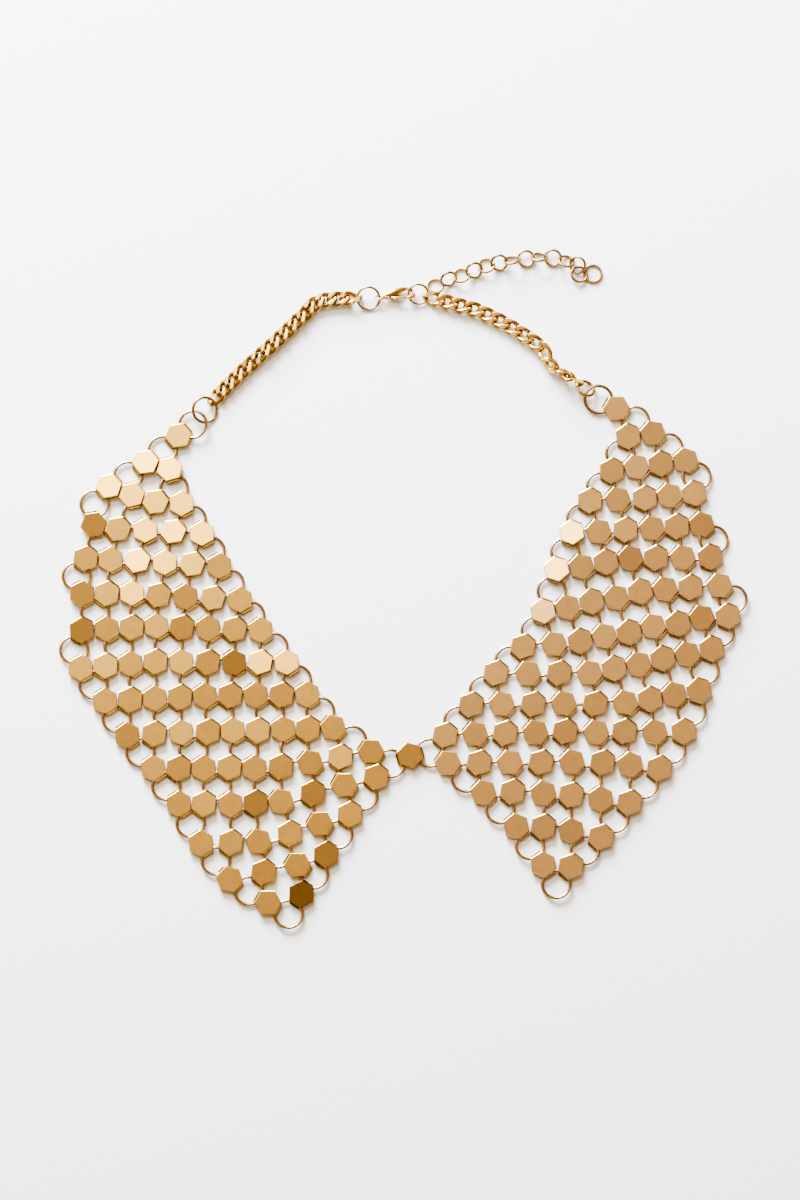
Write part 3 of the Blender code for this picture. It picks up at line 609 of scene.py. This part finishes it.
def wing(side, rows, free_rings, top_place, odd_caps, plate_lean, material, seed):
    """One wing: its caps and, as a piece of its own, its rings."""
    chance = random.Random(seed)
    plates, rings = settled_mesh(rows, free_rings)
    caps = []
    for (row, column), place in plates.items():
        line = rings[ring_below(row, column)] - rings[ring_above(row, column)]
        facing = Matrix.Rotation(math.atan2(line.y, line.x), 4, "Z")
        # Odd caps take their painted light and shade; the others a tone that differs at random
        to_panel, shade = odd_caps.get((row, column), (0.0, chance.uniform(*PLATE_SHADES)))
        lean = leaning(to_panel, plate_lean, chance)
        caps.append((CAP, Matrix.Translation(place) @ lean @ facing, shade))
    wires = []
    for key, place in rings.items():
        if key == TOP_RING:
            line = flat(top_place) - place
            rise = MESH_RING_Z + MESH_RING_RADIUS * math.sin(TOP_MESH_RING_RISE)
            heading = math.atan2(line.y, line.x)
            matrix = ring_matrix(
                place + Vector((0, 0, rise)), heading, TOP_MESH_RING_RISE, -TOP_MESH_RING_ROLL,
            )
        else:
            lean = max(-RING_LEAN_LIMIT, min(RING_LEAN_LIMIT, chance.gauss(0, RING_LEAN)))
            lifted = place + Vector((0, 0, MESH_RING_Z))
            matrix = ring_matrix(lifted, chance.uniform(0, math.tau), lean)
        matrix = above_floor(matrix, MESH_RING_RADIUS, MESH_WIRE_RADIUS)
        wires.append((MESH_RING, matrix, chance.uniform(*WIRE_SHADES)))
    plates_piece = copies(f"{side}_wing_caps", caps, material)
    plates_piece.data.set_sharp_from_angle(angle=CAP_CREASE)
    rings_piece = copies(f"{side}_wing_rings", wires, RING_WIRE)
    for piece in (plates_piece, rings_piece):
        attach(piece, "necklace")
        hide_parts(f"{side}_mesh_wing")


CAP = cap_mesh()
MESH_RING = wire_ring_mesh(
    MESH_RING_RADIUS, MESH_WIRE_RADIUS, MESH_RING_STEPS, MESH_RING_SIDES,
)

# Stamped brass, bead-blasted and plated: an even satin. The right wing's is a little redder.
LEFT_CAPS = gold_plating(
    "satin_gold_plating", dark="AA8430", light="CEA046", grain=0.00045, roughness=0.22,
)
RIGHT_CAPS = gold_plating(
    "satin_gold_plating_deep", dark="A68542", light="D4A866", grain=0.00045, roughness=0.22,
)

# Drawn brass wire, polished and plated: bright lines along it, and brown where it mirrors the room
RING_WIRE = gold_plating(
    "polished_gold_wire", dark="80623A", light="9C7A48", grain=0.0012, roughness=0.27,
)

wing(
    "left", LEFT_ROWS, LEFT_FREE_RINGS, LEFT_TOP_RING_PLACE, LEFT_ODD_CAPS, LEFT_PLATE_LEAN,
    LEFT_CAPS, LEFT_SEED,
)
wing(
    "right", RIGHT_ROWS, RIGHT_FREE_RINGS, RIGHT_TOP_RING_PLACE, RIGHT_ODD_CAPS, RIGHT_PLATE_LEAN,
    RIGHT_CAPS, RIGHT_SEED,
)


# The one cap that joins the wings at the neckline, held by the innermost ring of each. It lies
# in half shade between them, and that shade is painted into its plating as a darker tone.
left_bridge, right_bridge = flat(LEFT_FREE_RINGS[BRIDGE_RING]), flat(RIGHT_FREE_RINGS[BRIDGE_RING])
bridge_line = right_bridge - left_bridge
centre_facing = Matrix.Rotation(math.atan2(bridge_line.y, bridge_line.x), 4, "Z")
centre_cap = copies(
    "centre_cap", [(CAP, Matrix.Translation(PLAN_ORIGIN) @ centre_facing, CENTRE_PAINTED_SHADE)], LEFT_CAPS,
)
centre_cap.data.set_sharp_from_angle(angle=CAP_CREASE)
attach(centre_cap, "necklace")
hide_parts("centre_plate")


# The two jump rings that tie each wing's topmost mesh ring to its chain. Bent from plated wire
# and closed by hand, so each shows a hairline where its ends meet.
TOP_WIRE_RADIUS = 0.00052
LEFT_TOP_RING_RADIUS = 0.00415
RIGHT_TOP_RING_RADIUS = 0.00305
LEFT_TOP_RING_PLAY = 0.0014
RIGHT_TOP_RING_PLAY = 0.0009
TOP_RING_CLEARANCE = 0.00045
JUMP_RING_STEPS = 72
JUMP_RING_SIDES = 14
JOINT_ANGLE = math.radians(1.5)
LEFT_JOINT_AT = math.radians(70)
RIGHT_JOINT_AT = math.radians(-60)


def jump_ring_mesh(radius, wire_radius, joint_at):
    """A ring of round wire whose two flat ends almost meet, at an angle round it."""
    shape = bmesh.new()
    across = Matrix.Translation((radius, 0, 0)) @ Matrix.Rotation(math.pi / 2, 4, "X")
    bmesh.ops.create_circle(
        shape, cap_ends=True, segments=JUMP_RING_SIDES, radius=wire_radius, matrix=across,
    )
    bmesh.ops.spin(
        shape, geom=shape.faces[:], cent=(0, 0, 0), axis=(0, 0, 1), angle=math.tau - JOINT_ANGLE,
        steps=JUMP_RING_STEPS,
    )
    bmesh.ops.rotate(
        shape, cent=(0, 0, 0), matrix=Matrix.Rotation(joint_at, 3, "Z"), verts=shape.verts,
    )
    return mesh_of("jump_ring", shape)


def jump_ring(name, node_name, radius, wire_radius, matrix, joint_at):
    """A jump ring in the place of its plain solid."""
    mesh = jump_ring_mesh(radius, wire_radius, joint_at)
    ring = copies(name, [(mesh, matrix, FULL_TONE)], RING_WIRE)
    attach(ring, "necklace")
    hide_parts(node_name)


def top_ring_matrix(free_rings, place, radius, play):
    """The ring passes under the mesh ring on one side and over it on the other."""
    mesh_ring = flat(free_rings[TOP_RING])
    towards = (flat(place) - mesh_ring).normalized()
    wires = MESH_WIRE_RADIUS + TOP_WIRE_RADIUS
    apart = MESH_RING_RADIUS + radius - wires - play
    along = (apart**2 + MESH_RING_RADIUS**2 - radius**2) / (2 * apart)
    across = math.sqrt(MESH_RING_RADIUS**2 - along**2)
    height = MESH_RING_Z + (MESH_RING_RADIUS + along) * math.sin(TOP_MESH_RING_RISE)
    roll = math.asin((wires + TOP_RING_CLEARANCE) / across - math.sin(TOP_MESH_RING_ROLL))
    centre = mesh_ring + towards * apart + Vector((0, 0, height))
    ring = ring_matrix(centre, math.atan2(towards.y, towards.x), 0.0, roll)
    return above_floor(ring, radius, TOP_WIRE_RADIUS)


left_top = top_ring_matrix(
    LEFT_FREE_RINGS, LEFT_TOP_RING_PLACE, LEFT_TOP_RING_RADIUS, LEFT_TOP_RING_PLAY,
)
right_top = top_ring_matrix(
    RIGHT_FREE_RINGS, RIGHT_TOP_RING_PLACE, RIGHT_TOP_RING_RADIUS, RIGHT_TOP_RING_PLAY,
)
jump_ring(
    "left_jump_ring", "left_top_ring", LEFT_TOP_RING_RADIUS, TOP_WIRE_RADIUS, left_top,
    LEFT_JOINT_AT,
)
jump_ring(
    "right_jump_ring", "right_top_ring", RIGHT_TOP_RING_RADIUS, TOP_WIRE_RADIUS, right_top,
    RIGHT_JOINT_AT,
)


# The lobster clasp: a cast brass claw with a loop at its root, a slot for the spring lever and
# a riveted pin. The claw lies half on its back, so its opening looks up to the front.
# In its own frame, U runs from the loop to the nose, V from the gate to the back, W is the pin.
CLASP_EYE_PLACE = (-1.18, 18.25)
CLASP_ROLL = math.radians(40)
CLASP_HEADING = math.radians(5)
CLASP_AXIS_Z = 0.0018
EYE_RADIUS = 0.0012
EYE_WIRE_RADIUS = 0.00038
EYE_STEPS = 40
EYE_SIDES = 14
CLAW_LENGTH = 0.0121
CLAW_REACH = 0.0017
CLAW_RADIUS = 0.0013
CLAW_BOW = 0.46
CLAW_DEPTH_SHARE = 0.86
CLAW_WIDTH_SHARE = 1.08
CLAW_SIDES = 20
CLAW_STEPS = 6
PIN_RADIUS = 0.0003
PIN_LENGTH = 0.0024
PIN_DOME = PIN_RADIUS / 2
PIN_SIDES = 20
KNUCKLE_RADIUS = 0.00085
KNUCKLE_STEPS = 16
PIN_CLEARANCE = 0.00025
CLEARANCE = 0.0003
LEVER_THICKNESS = 0.0007
GATE_WIDTH = 0.0009
THUMB_TAB = 0.0006
THUMB_TAB_SHARES = (0.24, 0.34, 0.42, 0.50)
LEVER_ROUND = 0.00022
ROUND_SEGMENTS = 3
SLOT_LENGTH = 0.0048
SLOT_DEPTH = 0.0048

# The claw's middle line from its neck over its back to its nose: U is a share of the claw's
# length from the loop's centre, V of its reach, and the radius of the claw's fullest radius
CLAW_SECTIONS = (
    (0.115, 0.00, 0.62),
    (0.250, 0.24, 1.00),
    (0.400, 0.54, 1.16),
    (0.530, 0.84, 1.04),
    (0.640, 1.18, 0.70),
    (0.760, 1.32, 0.50),
    (0.880, 1.04, 0.49),
    (0.960, 0.24, 0.50),
    (0.938, -0.53, 0.48),
    (0.860, -0.85, 0.46),
    (0.765, -0.88, 0.42),
)

# The pin, the lever's free end at the nose, and the place in the claw where its ring lies
PIVOT_SHARES = (0.25, -0.06)
RING_HOLD_SHARE = 0.81
PIVOT = Vector((PIVOT_SHARES[0] * CLAW_LENGTH, PIVOT_SHARES[1] * CLAW_REACH, 0.0))
GATE_END = Vector((
    CLAW_SECTIONS[-1][0] * CLAW_LENGTH - CLEARANCE, CLAW_SECTIONS[-1][1] * CLAW_REACH, 0.0,
))
RING_HOLD = Vector((RING_HOLD_SHARE * CLAW_LENGTH, 0.0, 0.0))
CLASP = (
    Matrix.Translation(flat(CLASP_EYE_PLACE) + Vector((0, 0, CLASP_AXIS_Z)))
    @ Matrix.Rotation(CLASP_HEADING, 4, "Z") @ Matrix.Rotation(-CLASP_ROLL, 4, "X")
)


def curve_through(points, steps):
    """Points of a smooth curve through the given ones, with some steps between each two."""
    ends = [points[0] * 2 - points[1]] + list(points) + [points[-1] * 2 - points[-2]]
    fine = []
    for before, start, end, after in zip(ends, ends[1:], ends[2:], ends[3:]):
        for part in range(steps):
            t = part / steps
            bend = (before * 2 - start * 5 + end * 4 - after) * t**2
            twist = (start * 3 - before - end * 3 + after) * t**3
            fine.append((start * 2 + (end - before) * t + bend + twist) / 2)
    return fine + [points[-1]]


def claw_shape():
    """The claw as a bar of oval section along its middle line, rounded off at the nose."""
    line = [Vector((u * CLAW_LENGTH, v * CLAW_REACH, share)) for u, v, share in CLAW_SECTIONS]
    line = curve_through(line, CLAW_STEPS)
    shape = bmesh.new()
    loops = []
    for number, point in enumerate(line):
        ahead = line[min(number + 1, len(line) - 1)] - line[max(number - 1, 0)]
        heading = math.atan2(ahead.y, ahead.x)
        turn = Matrix.Rotation(heading, 4, "Z") @ Matrix.Rotation(math.pi / 2, 4, "Y")
        size = Matrix.Diagonal((CLAW_WIDTH_SHARE, CLAW_DEPTH_SHARE, 1.0, 1.0))
        bowed = Matrix.Translation((point.x, point.y, CLAW_BOW * max(0.0, point.y)))
        ring = bmesh.ops.create_circle(
            shape, segments=CLAW_SIDES, radius=point.z * CLAW_RADIUS, matrix=bowed @ turn @ size,
        )
        loops.append(list({edge for vert in ring["verts"] for edge in vert.link_edges}))
    for before, after in zip(loops, loops[1:]):
        bmesh.ops.bridge_loops(shape, edges=before + after)
    bmesh.ops.holes_fill(shape, edges=shape.edges, sides=CLAW_SIDES)
    return shape


def cut_and_joined(name, body, steps):
    """The body's mesh after each (mesh, operation) has been cut from it or joined to it."""
    carrier = bpy.data.objects.new(name, body)
    bpy.context.scene.collection.objects.link(carrier)
    tools = []
    for mesh, operation in steps:
        tool = bpy.data.objects.new(f"{name}_tool", mesh)
        bpy.context.scene.collection.objects.link(tool)
        change = carrier.modifiers.new(operation.lower(), "BOOLEAN")
        change.operation = operation
        change.solver = "EXACT"
        change.object = tool
        tools.append(tool)
    bpy.context.view_layer.update()
    graph = bpy.context.evaluated_depsgraph_get()
    made = bpy.data.meshes.new_from_object(carrier.evaluated_get(graph))
    for spent in [carrier] + tools:
        bpy.data.objects.remove(spent, do_unlink=True)
    return made


def lever_slot_mesh():
    """The slot that the lever turns in, as a block to be cut from the claw."""
    shape = bmesh.new()
    back = KNUCKLE_RADIUS + CLEARANCE
    centre = (PIVOT.x - back + SLOT_LENGTH / 2, PIVOT.y + back - SLOT_DEPTH / 2, 0.0)
    size = (SLOT_LENGTH, SLOT_DEPTH, LEVER_THICKNESS + 2 * CLEARANCE, 1.0)
    block = Matrix.Translation(centre) @ Matrix.Diagonal(size)
    bmesh.ops.create_cube(shape, size=1.0, matrix=block)
    return mesh_of("lever_slot", shape)


def level_edges(shape, slack):
    """The edges round a shape's two faces: those whose ends differ less in height than the slack."""
    return [e for e in shape.edges if abs(e.verts[0].co.z - e.verts[1].co.z) < slack]


def rivet_mesh():
    """The pin, with its two ends peened over to low domes."""
    shape = bmesh.new()
    bmesh.ops.create_cone(
        shape, cap_ends=True, segments=PIN_SIDES, radius1=PIN_RADIUS, radius2=PIN_RADIUS,
        depth=PIN_LENGTH, matrix=Matrix.Translation(PIVOT),
    )
    bmesh.ops.bevel(
        shape, geom=level_edges(shape, PIN_RADIUS), offset=PIN_DOME, segments=ROUND_SEGMENTS,
        profile=0.5, affect="EDGES", material=-1,
    )
    return mesh_of("rivet", shape)


def lever_mesh():
    """The lever, stamped from sheet with its edges tumbled round: knuckle, gate and thumb tab."""
    along = GATE_END - PIVOT
    length = along.length
    half = GATE_WIDTH / 2
    meets = math.asin(half / KNUCKLE_RADIUS)
    tab = [share * length for share in THUMB_TAB_SHARES]
    outline = []
    for step in range(KNUCKLE_STEPS + 1):
        angle = meets + (math.tau - 2 * meets) * step / KNUCKLE_STEPS
        outline.append((KNUCKLE_RADIUS * math.cos(angle), KNUCKLE_RADIUS * math.sin(angle)))
    outline += [(tab[0], -half), (tab[1], -half - THUMB_TAB), (tab[2], -half - THUMB_TAB)]
    outline += [(tab[3], -half), (length, -half), (length, half)]
    shape = bmesh.new()
    face = shape.faces.new([shape.verts.new((x, y, -LEVER_THICKNESS / 2)) for x, y in outline])
    pulled = bmesh.ops.extrude_face_region(shape, geom=[face])
    raised = [item for item in pulled["geom"] if isinstance(item, bmesh.types.BMVert)]
    bmesh.ops.translate(shape, verts=raised, vec=(0, 0, LEVER_THICKNESS))
    bmesh.ops.bevel(
        shape, geom=level_edges(shape, LEVER_ROUND), offset=LEVER_ROUND, segments=ROUND_SEGMENTS,
        profile=0.5, affect="EDGES", material=-1,
    )
    slope = Matrix.Rotation(math.atan2(along.y, along.x), 4, "Z")
    bmesh.ops.transform(shape, matrix=slope, verts=shape.verts)
    blank = mesh_of("lever_blank", shape)
    drill = bmesh.new()
    bmesh.ops.create_cone(
        drill, cap_ends=True, segments=PIN_SIDES, radius1=PIN_RADIUS + PIN_CLEARANCE,
        radius2=PIN_RADIUS + PIN_CLEARANCE, depth=2 * LEVER_THICKNESS,
    )
    return cut_and_joined("lever", blank, [(mesh_of("drill", drill), "DIFFERENCE")])


# Cast brass, tumbled and plated: soft lights that run along its curves
CLASP_GOLD = gold_plating(
    "polished_gold_casting", dark="BA9040", light="D2A656", grain=0.0015, roughness=0.24,
)
claw_blank = mesh_of("claw", claw_shape())
eye_mesh = wire_ring_mesh(EYE_RADIUS, EYE_WIRE_RADIUS, EYE_STEPS, EYE_SIDES)
claw_mesh = cut_and_joined("claw", claw_blank, [
    (lever_slot_mesh(), "DIFFERENCE"), (rivet_mesh(), "UNION"), (eye_mesh, "UNION"),
])
claw = copies("lobster_claw", [(claw_mesh, CLASP, FULL_TONE)], CLASP_GOLD)
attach(claw, "necklace")
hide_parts("clasp_body")

lever_place = CLASP @ Matrix.Translation(PIVOT)
lever = copies("lobster_lever", [(lever_mesh(), lever_place, FULL_TONE)], CLASP_GOLD)
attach(lever, "lever")
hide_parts("clasp_lever")


# The rings at the clasp: one ties its loop to the left chain, and it closes on the other, which
# holds the right chain and the extender. A third ends the extender. All three are bent from plated
# wire and closed by hand.
EYE_RING_RADIUS = 0.00375
EYE_RING_WIRE_RADIUS = 0.00042
EYE_RING_ROLL = math.radians(20)
TONGUE_RING_RADIUS = 0.00328
TONGUE_RING_WIRE_RADIUS = 0.00042
TONGUE_RING_ROLL = math.radians(15)
END_RING_RADIUS = 0.00295
END_RING_WIRE_RADIUS = 0.00045
EXTENDER_END_PLACE = (7.10, 19.25)
EYE_RING_JOINT_AT = math.radians(100)
TONGUE_RING_JOINT_AT = math.radians(-80)
END_RING_JOINT_AT = math.radians(30)

clasp_ahead = (CLASP.to_3x3() @ Vector((1, 0, 0))).normalized()
eye_ring = ring_matrix(
    CLASP.translation - clasp_ahead * EYE_RING_RADIUS, CLASP_HEADING, 0.0, EYE_RING_ROLL,
)
tongue_ring = ring_matrix(
    CLASP @ RING_HOLD + clasp_ahead * TONGUE_RING_RADIUS, CLASP_HEADING, 0.0, TONGUE_RING_ROLL,
)
end_ring = ring_matrix(flat(EXTENDER_END_PLACE) + Vector((0, 0, END_RING_WIRE_RADIUS)), 0.0)
jump_ring(
    "clasp_jump_ring", "clasp_eye_ring", EYE_RING_RADIUS, EYE_RING_WIRE_RADIUS, eye_ring,
    EYE_RING_JOINT_AT,
)
jump_ring(
    "tongue_jump_ring", "tongue_ring", TONGUE_RING_RADIUS, TONGUE_RING_WIRE_RADIUS, tongue_ring,
    TONGUE_RING_JOINT_AT,
)
jump_ring(
    "end_jump_ring", "extender_end_ring", END_RING_RADIUS, END_RING_WIRE_RADIUS, end_ring,
    END_RING_JOINT_AT,
)


# The two curb chains: links of grooved brass wire, each twisted so that the chain lies flat, then
# milled level on both faces and plated. The links lie a little slack in each other, and the right
# chain turns over before its lower ring. Rolls about the chain's line are in degrees.
CURB_PITCH = 0.0042
CURB_WIRE_RADIUS = 0.00084
CURB_WIDTH = 0.0055
CURB_SLACK = 0.0005
CURB_HALF_LENGTH = CURB_PITCH / 2 + CURB_WIRE_RADIUS + CURB_SLACK
CURB_HALF_WIDTH = CURB_WIDTH / 2 - CURB_WIRE_RADIUS
CURB_TWIST = math.radians(-48)
CURB_END_TWIST = math.radians(-78)
CURB_FACET_Z = 0.00112
CURB_CENTRE_Z = 0.0014
CURB_GROOVE_SHARE = 0.42
CURB_GROOVE_SIDES = 3
CURB_ROPE_SHARE = 0.10
CURB_STEPS = 48
CURB_SIDES = 16
CURB_SIDE_SHADE = 0.74
CURB_CHANCE_ROLL = 1.5
LEFT_CURB_LINKS = 15
LEFT_CURB_ROLL = -4
LEFT_CURB_ROLLS = (LEFT_CURB_ROLL,) * LEFT_CURB_LINKS
RIGHT_CURB_ROLLS = (2, 4, 4, 4, 4, 4, 4, 4, 12, 30, 58, 92, 130)
# Painted light and shade: the left chain's plating is painted darker and the right's lighter, for how
# their faces catch the light
LEFT_CURB_PAINTED_SHADE = 0.80
RIGHT_CURB_PAINTED_LIGHT = 1.10
LEFT_CURB_ROUTE = (
    (-7.35, 14.50), (-6.65, 15.15), (-5.90, 15.85), (-5.10, 16.60), (-4.20, 17.50), (-3.50, 18.10),
    (-2.75, 18.30),
)
RIGHT_CURB_ROUTE = (
    (1.40, 18.05), (2.05, 17.90), (2.70, 17.70), (3.95, 17.05), (5.10, 16.20), (5.40, 15.55),
    (5.85, 15.30),
)
CURVE_STEPS = 24


def curb_link_mesh(start_twist, end_twist):
    """One link: an oval ring of grooved wire, twisted about the chain's line and milled flat."""
    ring = wire_ring_mesh(1.0, CURB_WIRE_RADIUS, CURB_STEPS, CURB_SIDES)
    shape = bmesh.new()
    shape.from_mesh(ring)
    for vert in shape.verts:
        around = math.atan2(vert.co.y, vert.co.x)
        outwards = math.hypot(vert.co.x, vert.co.y) - 1.0
        if outwards > CURB_WIRE_RADIUS * math.cos(CURB_GROOVE_SIDES * math.pi / CURB_SIDES):
            rope = math.cos(around * CURB_STEPS / 2) * CURB_ROPE_SHARE
            outwards *= 1 - CURB_GROOVE_SHARE - rope
        line = Vector((CURB_HALF_LENGTH * math.cos(around), CURB_HALF_WIDTH * math.sin(around), 0))
        normal = Vector((math.cos(around) / CURB_HALF_LENGTH, math.sin(around) / CURB_HALF_WIDTH, 0))
        place = line + normal.normalized() * outwards + Vector((0, 0, vert.co.z))
        share = (line.x / CURB_HALF_LENGTH + 1) / 2
        twist = start_twist + (end_twist - start_twist) * share
        vert.co = Matrix.Rotation(twist, 3, "X") @ place
        vert.co.z = max(-CURB_FACET_Z, min(CURB_FACET_Z, vert.co.z))
    mesh = mesh_of("curb_link", shape)
    # Painted shade: the round sides are painted darker than the milled faces
    painted_shade = mesh.attributes.new("painted_shade", "FLOAT", "POINT")
    for vert in mesh.vertices:
        milled = abs(vert.co.z) > CURB_FACET_Z - CURB_WIRE_RADIUS * WELD_SHARE
        painted_shade.data[vert.index].value = FULL_TONE if milled else CURB_SIDE_SHADE
    return mesh


def ring_edge(ring, towards, radius):
    """The point of a ring's wire that is nearest to a place, level with the floor."""
    centre = Vector((ring.translation.x, ring.translation.y, 0.0))
    return centre + (towards - centre).normalized() * radius


def spaced_along(points, first, last, count):
    """Evenly spaced (place, heading) along a fine line, with a first and last gap at its ends."""
    lengths = [0.0]
    for a, b in zip(points, points[1:]):
        lengths.append(lengths[-1] + (b - a).length)
    spaced = []
    for number in range(count):
        target = first + (lengths[-1] - first - last) * number / (count - 1)
        index = max(i for i, run in enumerate(lengths[:-1]) if run <= target)
        a, b = points[index], points[index + 1]
        place = a + (b - a) * ((target - lengths[index]) / (b - a).length)
        spaced.append((place, math.atan2((b - a).y, (b - a).x)))
    return spaced


def curb_chain(name, node_name, start, route, end, hooks, rolls, shade):
    """A chain of links along its route; its end links hang in the rings, whose wires are hooks."""
    inner = [flat(place) for place in route[1:-1]]
    line = curve_through([start] + inner + [end], CURVE_STEPS)
    gaps = [CURB_HALF_LENGTH - CURB_WIRE_RADIUS - wire for wire in hooks]
    places = spaced_along(line, gaps[0], gaps[1], len(rolls))
    plain = curb_link_mesh(-CURB_TWIST, CURB_TWIST)
    first = curb_link_mesh(-CURB_END_TWIST, CURB_TWIST)
    last = curb_link_mesh(-CURB_TWIST, CURB_END_TWIST)
    chance = random.Random(len(rolls))
    links = []
    for number, ((place, heading), roll) in enumerate(zip(places, rolls)):
        mesh = first if number == 0 else last if number == len(rolls) - 1 else plain
        roll = math.radians(roll + chance.gauss(0, CURB_CHANCE_ROLL))
        rise = CURB_CENTRE_Z * abs(math.cos(roll)) + CURB_WIDTH / 2 * abs(math.sin(roll))
        lifted = place + Vector((0, 0, rise))
        tone = shade * chance.uniform(*WIRE_SHADES)
        links.append((mesh, ring_matrix(lifted, heading, 0.0, roll), tone))
    chain = copies(name, links, CHAIN_GOLD)
    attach(chain, "necklace")
    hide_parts(node_name)


# Milled brass, plated: flat bright faces between round sides, which are painted darker as shade
CHAIN_GOLD = gold_plating(
    "milled_gold_chain", dark="B48A34", light="D2A448", grain=0.0009, roughness=0.22,
)
curb_chain(
    "left_curb_links", "left_curb_chain",
    ring_edge(left_top, flat(LEFT_CURB_ROUTE[0]), LEFT_TOP_RING_RADIUS), LEFT_CURB_ROUTE,
    ring_edge(eye_ring, flat(LEFT_CURB_ROUTE[-1]), EYE_RING_RADIUS),
    (TOP_WIRE_RADIUS, EYE_RING_WIRE_RADIUS), LEFT_CURB_ROLLS, LEFT_CURB_PAINTED_SHADE,
)
curb_chain(
    "right_curb_links", "right_curb_chain",
    ring_edge(tongue_ring, flat(RIGHT_CURB_ROUTE[0]), TONGUE_RING_RADIUS), RIGHT_CURB_ROUTE,
    ring_edge(right_top, flat(RIGHT_CURB_ROUTE[-1]), RIGHT_TOP_RING_RADIUS),
    (TONGUE_RING_WIRE_RADIUS, TOP_WIRE_RADIUS), RIGHT_CURB_ROLLS, RIGHT_CURB_PAINTED_LIGHT,
)


# The extender: round links of thin plated wire, which lie by turns flat and tilted. The last
# ones have slid together beside the end ring.
EXTENDER_LINK_RADIUS = 0.00264
EXTENDER_WIRE_RADIUS = 0.00047
EXTENDER_STEPS = 48
EXTENDER_SIDES = 12
EXTENDER_SHADE = 1.10

# A row is a link: its place in shares of the pitch from the centre plate, and its roll in degrees
EXTENDER_LINKS = (
    (0.98, 18.73, -15), (1.50, 18.97, 54), (1.99, 19.15, -20), (2.50, 19.33, 42),
    (2.96, 19.56, -18), (3.47, 19.64, 38), (3.98, 19.74, -48), (4.52, 19.84, 12),
    (5.04, 19.86, -46), (5.56, 19.87, 14), (6.08, 19.70, -34), (6.52, 19.56, 30),
    (6.58, 19.20, -12),
)

round_link = wire_ring_mesh(
    EXTENDER_LINK_RADIUS, EXTENDER_WIRE_RADIUS, EXTENDER_STEPS, EXTENDER_SIDES,
)
link_places = [flat(row[:2]) for row in EXTENDER_LINKS]
extender_links = []
for number, (x, y, roll) in enumerate(EXTENDER_LINKS):
    before = link_places[max(number - 1, 0)]
    after = link_places[min(number + 1, len(link_places) - 1)]
    roll = math.radians(roll)
    height = EXTENDER_WIRE_RADIUS + EXTENDER_LINK_RADIUS * abs(math.sin(roll))
    heading = math.atan2((after - before).y, (after - before).x)
    place = link_places[number] + Vector((0, 0, height))
    link_place = ring_matrix(place, heading, 0.0, roll)
    extender_links.append((round_link, link_place, EXTENDER_SHADE))
extender = copies("extender_links", extender_links, RING_WIRE)
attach(extender, "necklace")
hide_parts("extender_chain")
